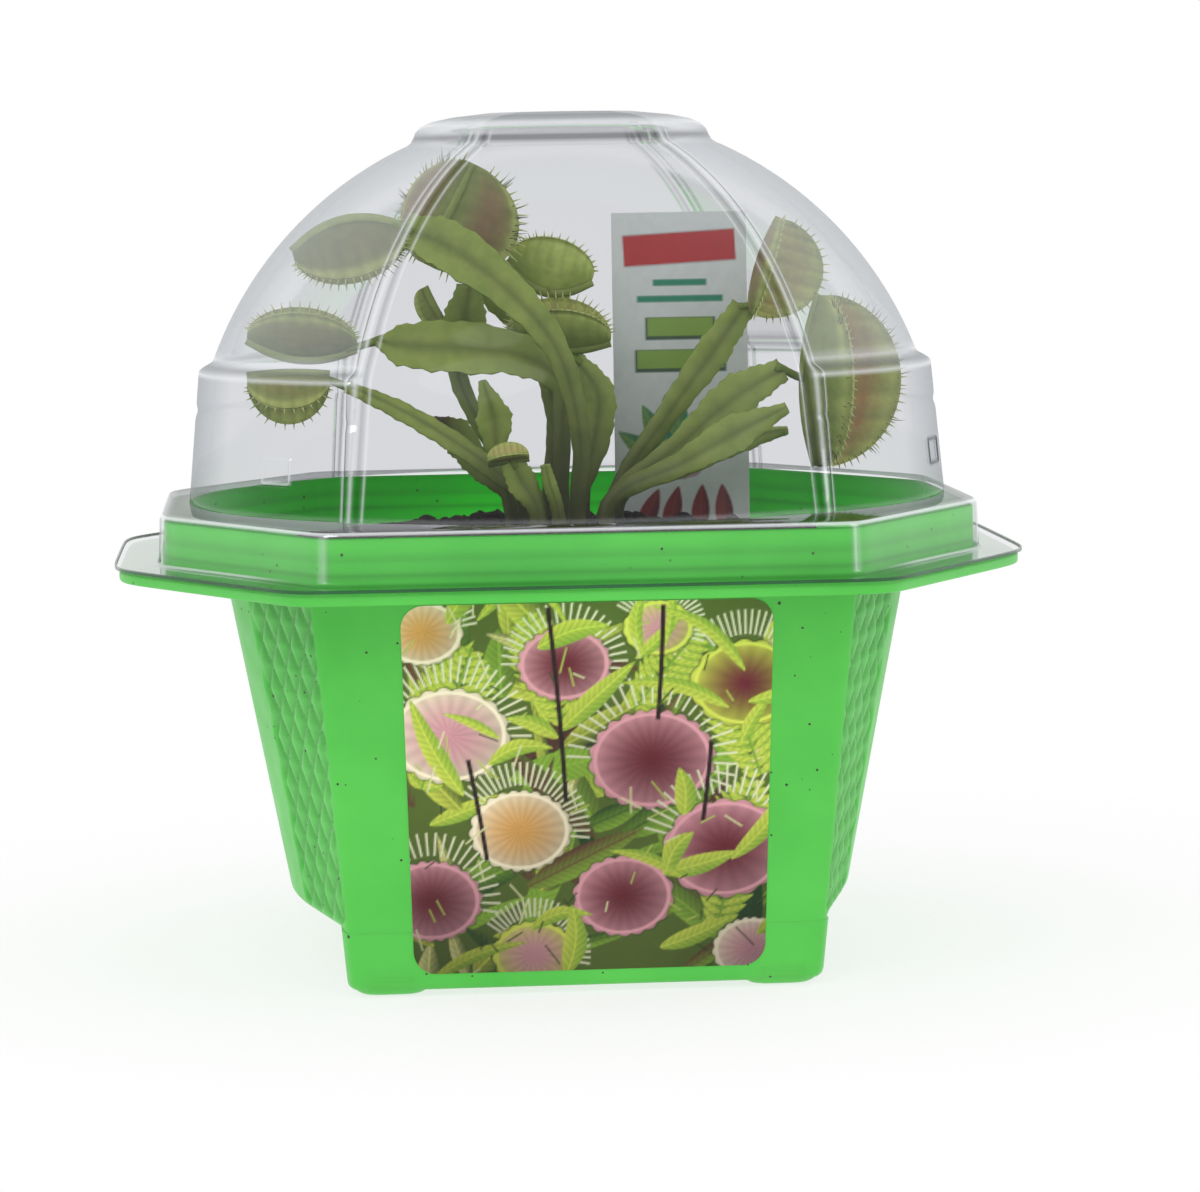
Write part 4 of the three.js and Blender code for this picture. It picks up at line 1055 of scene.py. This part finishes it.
def add_trap(soup, trap, rng):
    """Two lobes as one folded plate, with a midrib, teeth and hairs."""
    axis, opened = trap_frame(trap)
    across = unit(np.cross(axis, opened))
    half, reach = math.radians(trap["half"]), trap["reach"]

    def directions(sign):
        """The way a lobe reaches out, and the way its outside looks."""
        outward = across * sign * math.cos(half) - opened * math.sin(half)
        return opened * math.cos(half) + across * sign * math.sin(half), outward

    def point(along, height, sign):
        """The middle of the plate, along the hinge and up a lobe."""
        rise = math.sqrt(max(0, 1 - along**2))
        reach_out, outward = directions(sign)
        swell = 0.2 * reach * math.sin(math.pi * 0.85 * height) * rise
        rise_bow = opened * trap["bow"] * height * rise**2
        return hinge_at(trap, along) + rise_bow + reach_out * reach * rise * height + outward * swell

    sheets, inks = {1: [], -1: []}, {1: [], -1: []}
    for i in range(TRAP_COLUMNS + 1):
        along = 0.985 * math.sin((i / TRAP_COLUMNS * 2 - 1) * math.pi / 2)
        for j in range(-TRAP_ROWS, TRAP_ROWS + 1):
            sign, height = (1 if j >= 0 else -1), abs(j) / TRAP_ROWS
            middle = point(along, height, sign)
            normal = -opened if j == 0 else directions(sign)[1]
            thick = 0.8 * (1 - 0.45 * height**3)
            for side, ink in zip((1, -1), lobe_inks(trap, i, j, along, height)):
                sheets[side].append(middle + normal * side * thick / 2)
                inks[side].append(ink)
    size = (TRAP_COLUMNS + 1, 2 * TRAP_ROWS + 1)
    total = size[0] * size[1]
    faces = grid_faces(*size, flip=True) + grid_faces(*size, start=total)
    border = grid_border(*size)
    border = border[:1] + border[:0:-1]
    for here, after in zip(border, border[1:] + border[:1]):
        faces.append([here, after, after + total, here + total])
    soup.add(sheets[1] + sheets[-1], faces, inks[1] + inks[-1])
    midrib = [hinge_at(trap, k) - opened * 0.35 for k in (-0.98, -0.5, 0, 0.5, 0.98)]
    widths = (0.8, 1.5, 1.7, 1.5, 0.8)
    add_blade(soup, midrib, widths, opened, lambda t, c, s: TRAP_GREEN * 1.1, steps=16, sides=8)
    for sign in (-1, 1):
        reach_out, outward = directions(sign)
        for i in range(trap["teeth"]):
            turn = (-0.9 + 1.8 * i / (trap["teeth"] - 1)) * math.pi / 2
            radial = reach_out * math.cos(turn) + axis * math.sin(turn)
            root = point(math.sin(turn) * 0.98, 1, sign) - radial * 0.5
            grown = trap["tooth"] * (0.8 + 0.3 * rng.random()) * (0.72 + 0.28 * math.cos(turn))
            sway = axis * rng.uniform(-0.12, 0.12) * grown - outward * grown * 0.16
            add_hair(soup, root, root + radial * (grown + 0.5) * 0.97, sway, 0.24, CILIA)
        for _ in range(trap.get("hairs", 0)):
            turn = rng.uniform(-0.75, 0.75) * math.pi / 2
            lean = axis * (math.sin(turn) + 0.25) + outward * rng.uniform(-0.2, 0.5)
            radial = unit(reach_out * math.cos(turn) + lean)
            root = point(math.sin(turn) * 0.95, rng.uniform(0.86, 1), sign)
            tip = root + radial * rng.uniform(1.6, 2.9)
            add_hair(soup, root, tip, axis * rng.uniform(-0.4, 0.6), 0.1, HAIR, steps=4, sides=4)


def build_leaf(number, leaf, material):
    """One leaf: a peg in the soil, the stalk and the trap."""
    rng = random.Random(SEED + number)
    soup = Soup()
    x, y = leaf["root"]
    tone = rng.uniform(-0.12, 0.12)

    def stalk_colour(t, c, s):
        ink = blend(LEAF_GREEN * (1 + tone), LEAF_PALE if s > 0 else LEAF_DARK, 0.5)
        ink = ink * (1 - 0.3 * bell(c, 0.12) * (s > 0)) * (0.88 + 0.2 * abs(math.sin(c * 9)))
        ink = blend(STALK_BROWN * (1 + 0.5 * (s > 0)), ink, smooth(0.12, 0.7, t))
        return blend(ink, WITHERED, smooth(0.72, 0.95, t)) if leaf.get("withered") else ink

    peg = [(x, y, z) for z in np.linspace(PEG_BOTTOM, SOIL_TOP + 0.6, 4)]
    add_blade(soup, peg, (2.9,) * 4, (0, -1, 0), lambda t, c, s: LEAF_PALE * 0.8, steps=6, sides=10)
    points = [(x, y, SOIL_TOP - 1.2), *leaf["path"]]
    add_blade(soup, points, (2.6, *leaf["widths"]), leaf["face"], stalk_colour)
    if "trap" in leaf:
        end = np.array(leaf.get("stalk", leaf["path"][-1]), float)
        hinge = [hinge_at(leaf["trap"], k) for k in (-0.8, 0, 0.8)]
        near = min(hinge, key=lambda p: np.linalg.norm(p - end))
        back = end + unit(end - near) * 1.5
        add_blade(soup, [back, (end + near) / 2, near], (1.8, 1.4, 1.3), leaf["face"],
                  lambda t, c, s: LEAF_GREEN, steps=12, sides=8)
        add_trap(soup, leaf["trap"], rng)
    name = f"{number:02d}"
    return soup.piece(f"leaf_{name}", material, slot="leaf", replaces=(f"flytrap_leaf_{name}",))


# ---- Camera, floor and light ------------------------------------------------
IMAGE_WIDTH = 1200
FOCAL_PIXELS = 4400
CAMERA = {
    "yaw": 4.08, "pitch": 5.43, "roll": -0.95, "distance": 800, "right": 6.9, "up": -10.2, "pivot": 73.4,
}
FLOOR_RADII = (10, 40, 70, 100, 130, 160, 190, 220, 260, 300, 400)
FLOOR_COVER = 0.25  # how solid the floor is under the pot, before it fades out
LIGHT_AIM = (0, 0, 0.08)
LIGHTS = (("key", (-0.6, -0.9, 0.8), 0.9, 3.0), ("fill", (0.8, -0.5, 0.5), 0.8, 0.7))  # place, size, power


def build_camera():
    """The photo's camera, set back from a point on the pot's axis."""
    yaw, pitch, roll = (math.radians(CAMERA[k]) for k in ("yaw", "pitch", "roll"))
    forward = Vector((math.sin(yaw) * math.cos(pitch), math.cos(yaw) * math.cos(pitch), -math.sin(pitch)))
    right = Vector((math.cos(yaw), -math.sin(yaw), 0))
    up = right.cross(forward)
    place = right * CAMERA["right"] + up * CAMERA["up"] - forward * CAMERA["distance"]
    place.z += CAMERA["pivot"]
    across = right * math.cos(roll) + up * math.sin(roll)
    upward = up * math.cos(roll) - right * math.sin(roll)
    data = bpy.data.cameras.new("camera")
    data.sensor_width = 36
    data.lens = FOCAL_PIXELS / IMAGE_WIDTH * data.sensor_width
    camera = bpy.data.objects.new("camera", data)
    bpy.context.scene.collection.objects.link(camera)
    turn = Matrix((across, upward, -forward)).transposed().to_4x4()
    camera.matrix_world = Matrix.Translation(place * MM) @ turn
    data.clip_start, data.clip_end = 0.01, 20
    bpy.context.scene.camera = camera


def area_light(name, place, size, power):
    """A round lamp that looks at the part."""
    data = bpy.data.lights.new(name, "AREA")
    data.shape, data.size, data.energy = "DISK", size, power
    lamp = bpy.data.objects.new(name, data)
    lamp.location = place
    lamp.rotation_mode = "QUATERNION"
    lamp.rotation_quaternion = (Vector(LIGHT_AIM) - Vector(place)).to_track_quat("-Z", "Y")
    bpy.context.scene.collection.objects.link(lamp)


def build_studio():
    """White surroundings, a floor that fades out, and the lamps."""
    scene = bpy.context.scene
    scene.view_settings.view_transform = "Standard"
    world = bpy.data.worlds.new("studio")
    world.use_nodes = True
    background = world.node_tree.nodes["Background"].inputs
    background["Color"].default_value = (1, 1, 1, 1)
    background["Strength"].default_value = 1.0
    scene.world = world
    shade = Shade("floor_white")
    tone = shade.ramp(shade.noise(3, detail=2), [(0.3, (0.9, 0.9, 0.9)), (0.7, (0.93, 0.93, 0.93))])
    fade = shade.channels(shade.tint())[0]
    shade.set(Base_Color=tone, Roughness=0.9, Specular_IOR_Level=0.1, Alpha=fade)
    turns = np.radians(np.arange(0, 360, 5))
    circles = np.array([[(r * math.sin(a), -r * math.cos(a), -0.2) for a in turns] for r in FLOOR_RADII])
    faces = grid_faces(*circles.shape[:2], wrap=True, flip=True) + [list(range(len(turns)))]
    cover = FLOOR_COVER * smooth(300, 60, np.linalg.norm(circles[..., :2], axis=-1))
    floor = add_mesh("floor", circles, faces, shade.material, np.stack([cover] * 3, axis=-1), flat=True)
    for light in LIGHTS:
        area_light(*light)


# ---- Whole scene ------------------------------------------------------------
def main():
    build_camera()
    build_studio()
    green, soil, leaf = pot_material(), soil_material(), leaf_material()
    build_pot(green)
    dome = clear_material("clear_plastic", 0.3, (0.83, 0.833, 0.85), (0.52, 0.54, 0.56))
    skirt = clear_material("clear_plastic_skirt", 0.35, (0.99, 1.0, 0.99), (0.7, 0.73, 0.72))
    build_lid(dome, skirt, edge_material())
    build_soil(soil)
    build_label(print_material("label_ink", 0.4, 0.05))
    build_tag(print_material("tag_ink", 0.5, 0.1))
    for number, data in enumerate(LEAVES, start=1):
        build_leaf(number, data, leaf)


main()
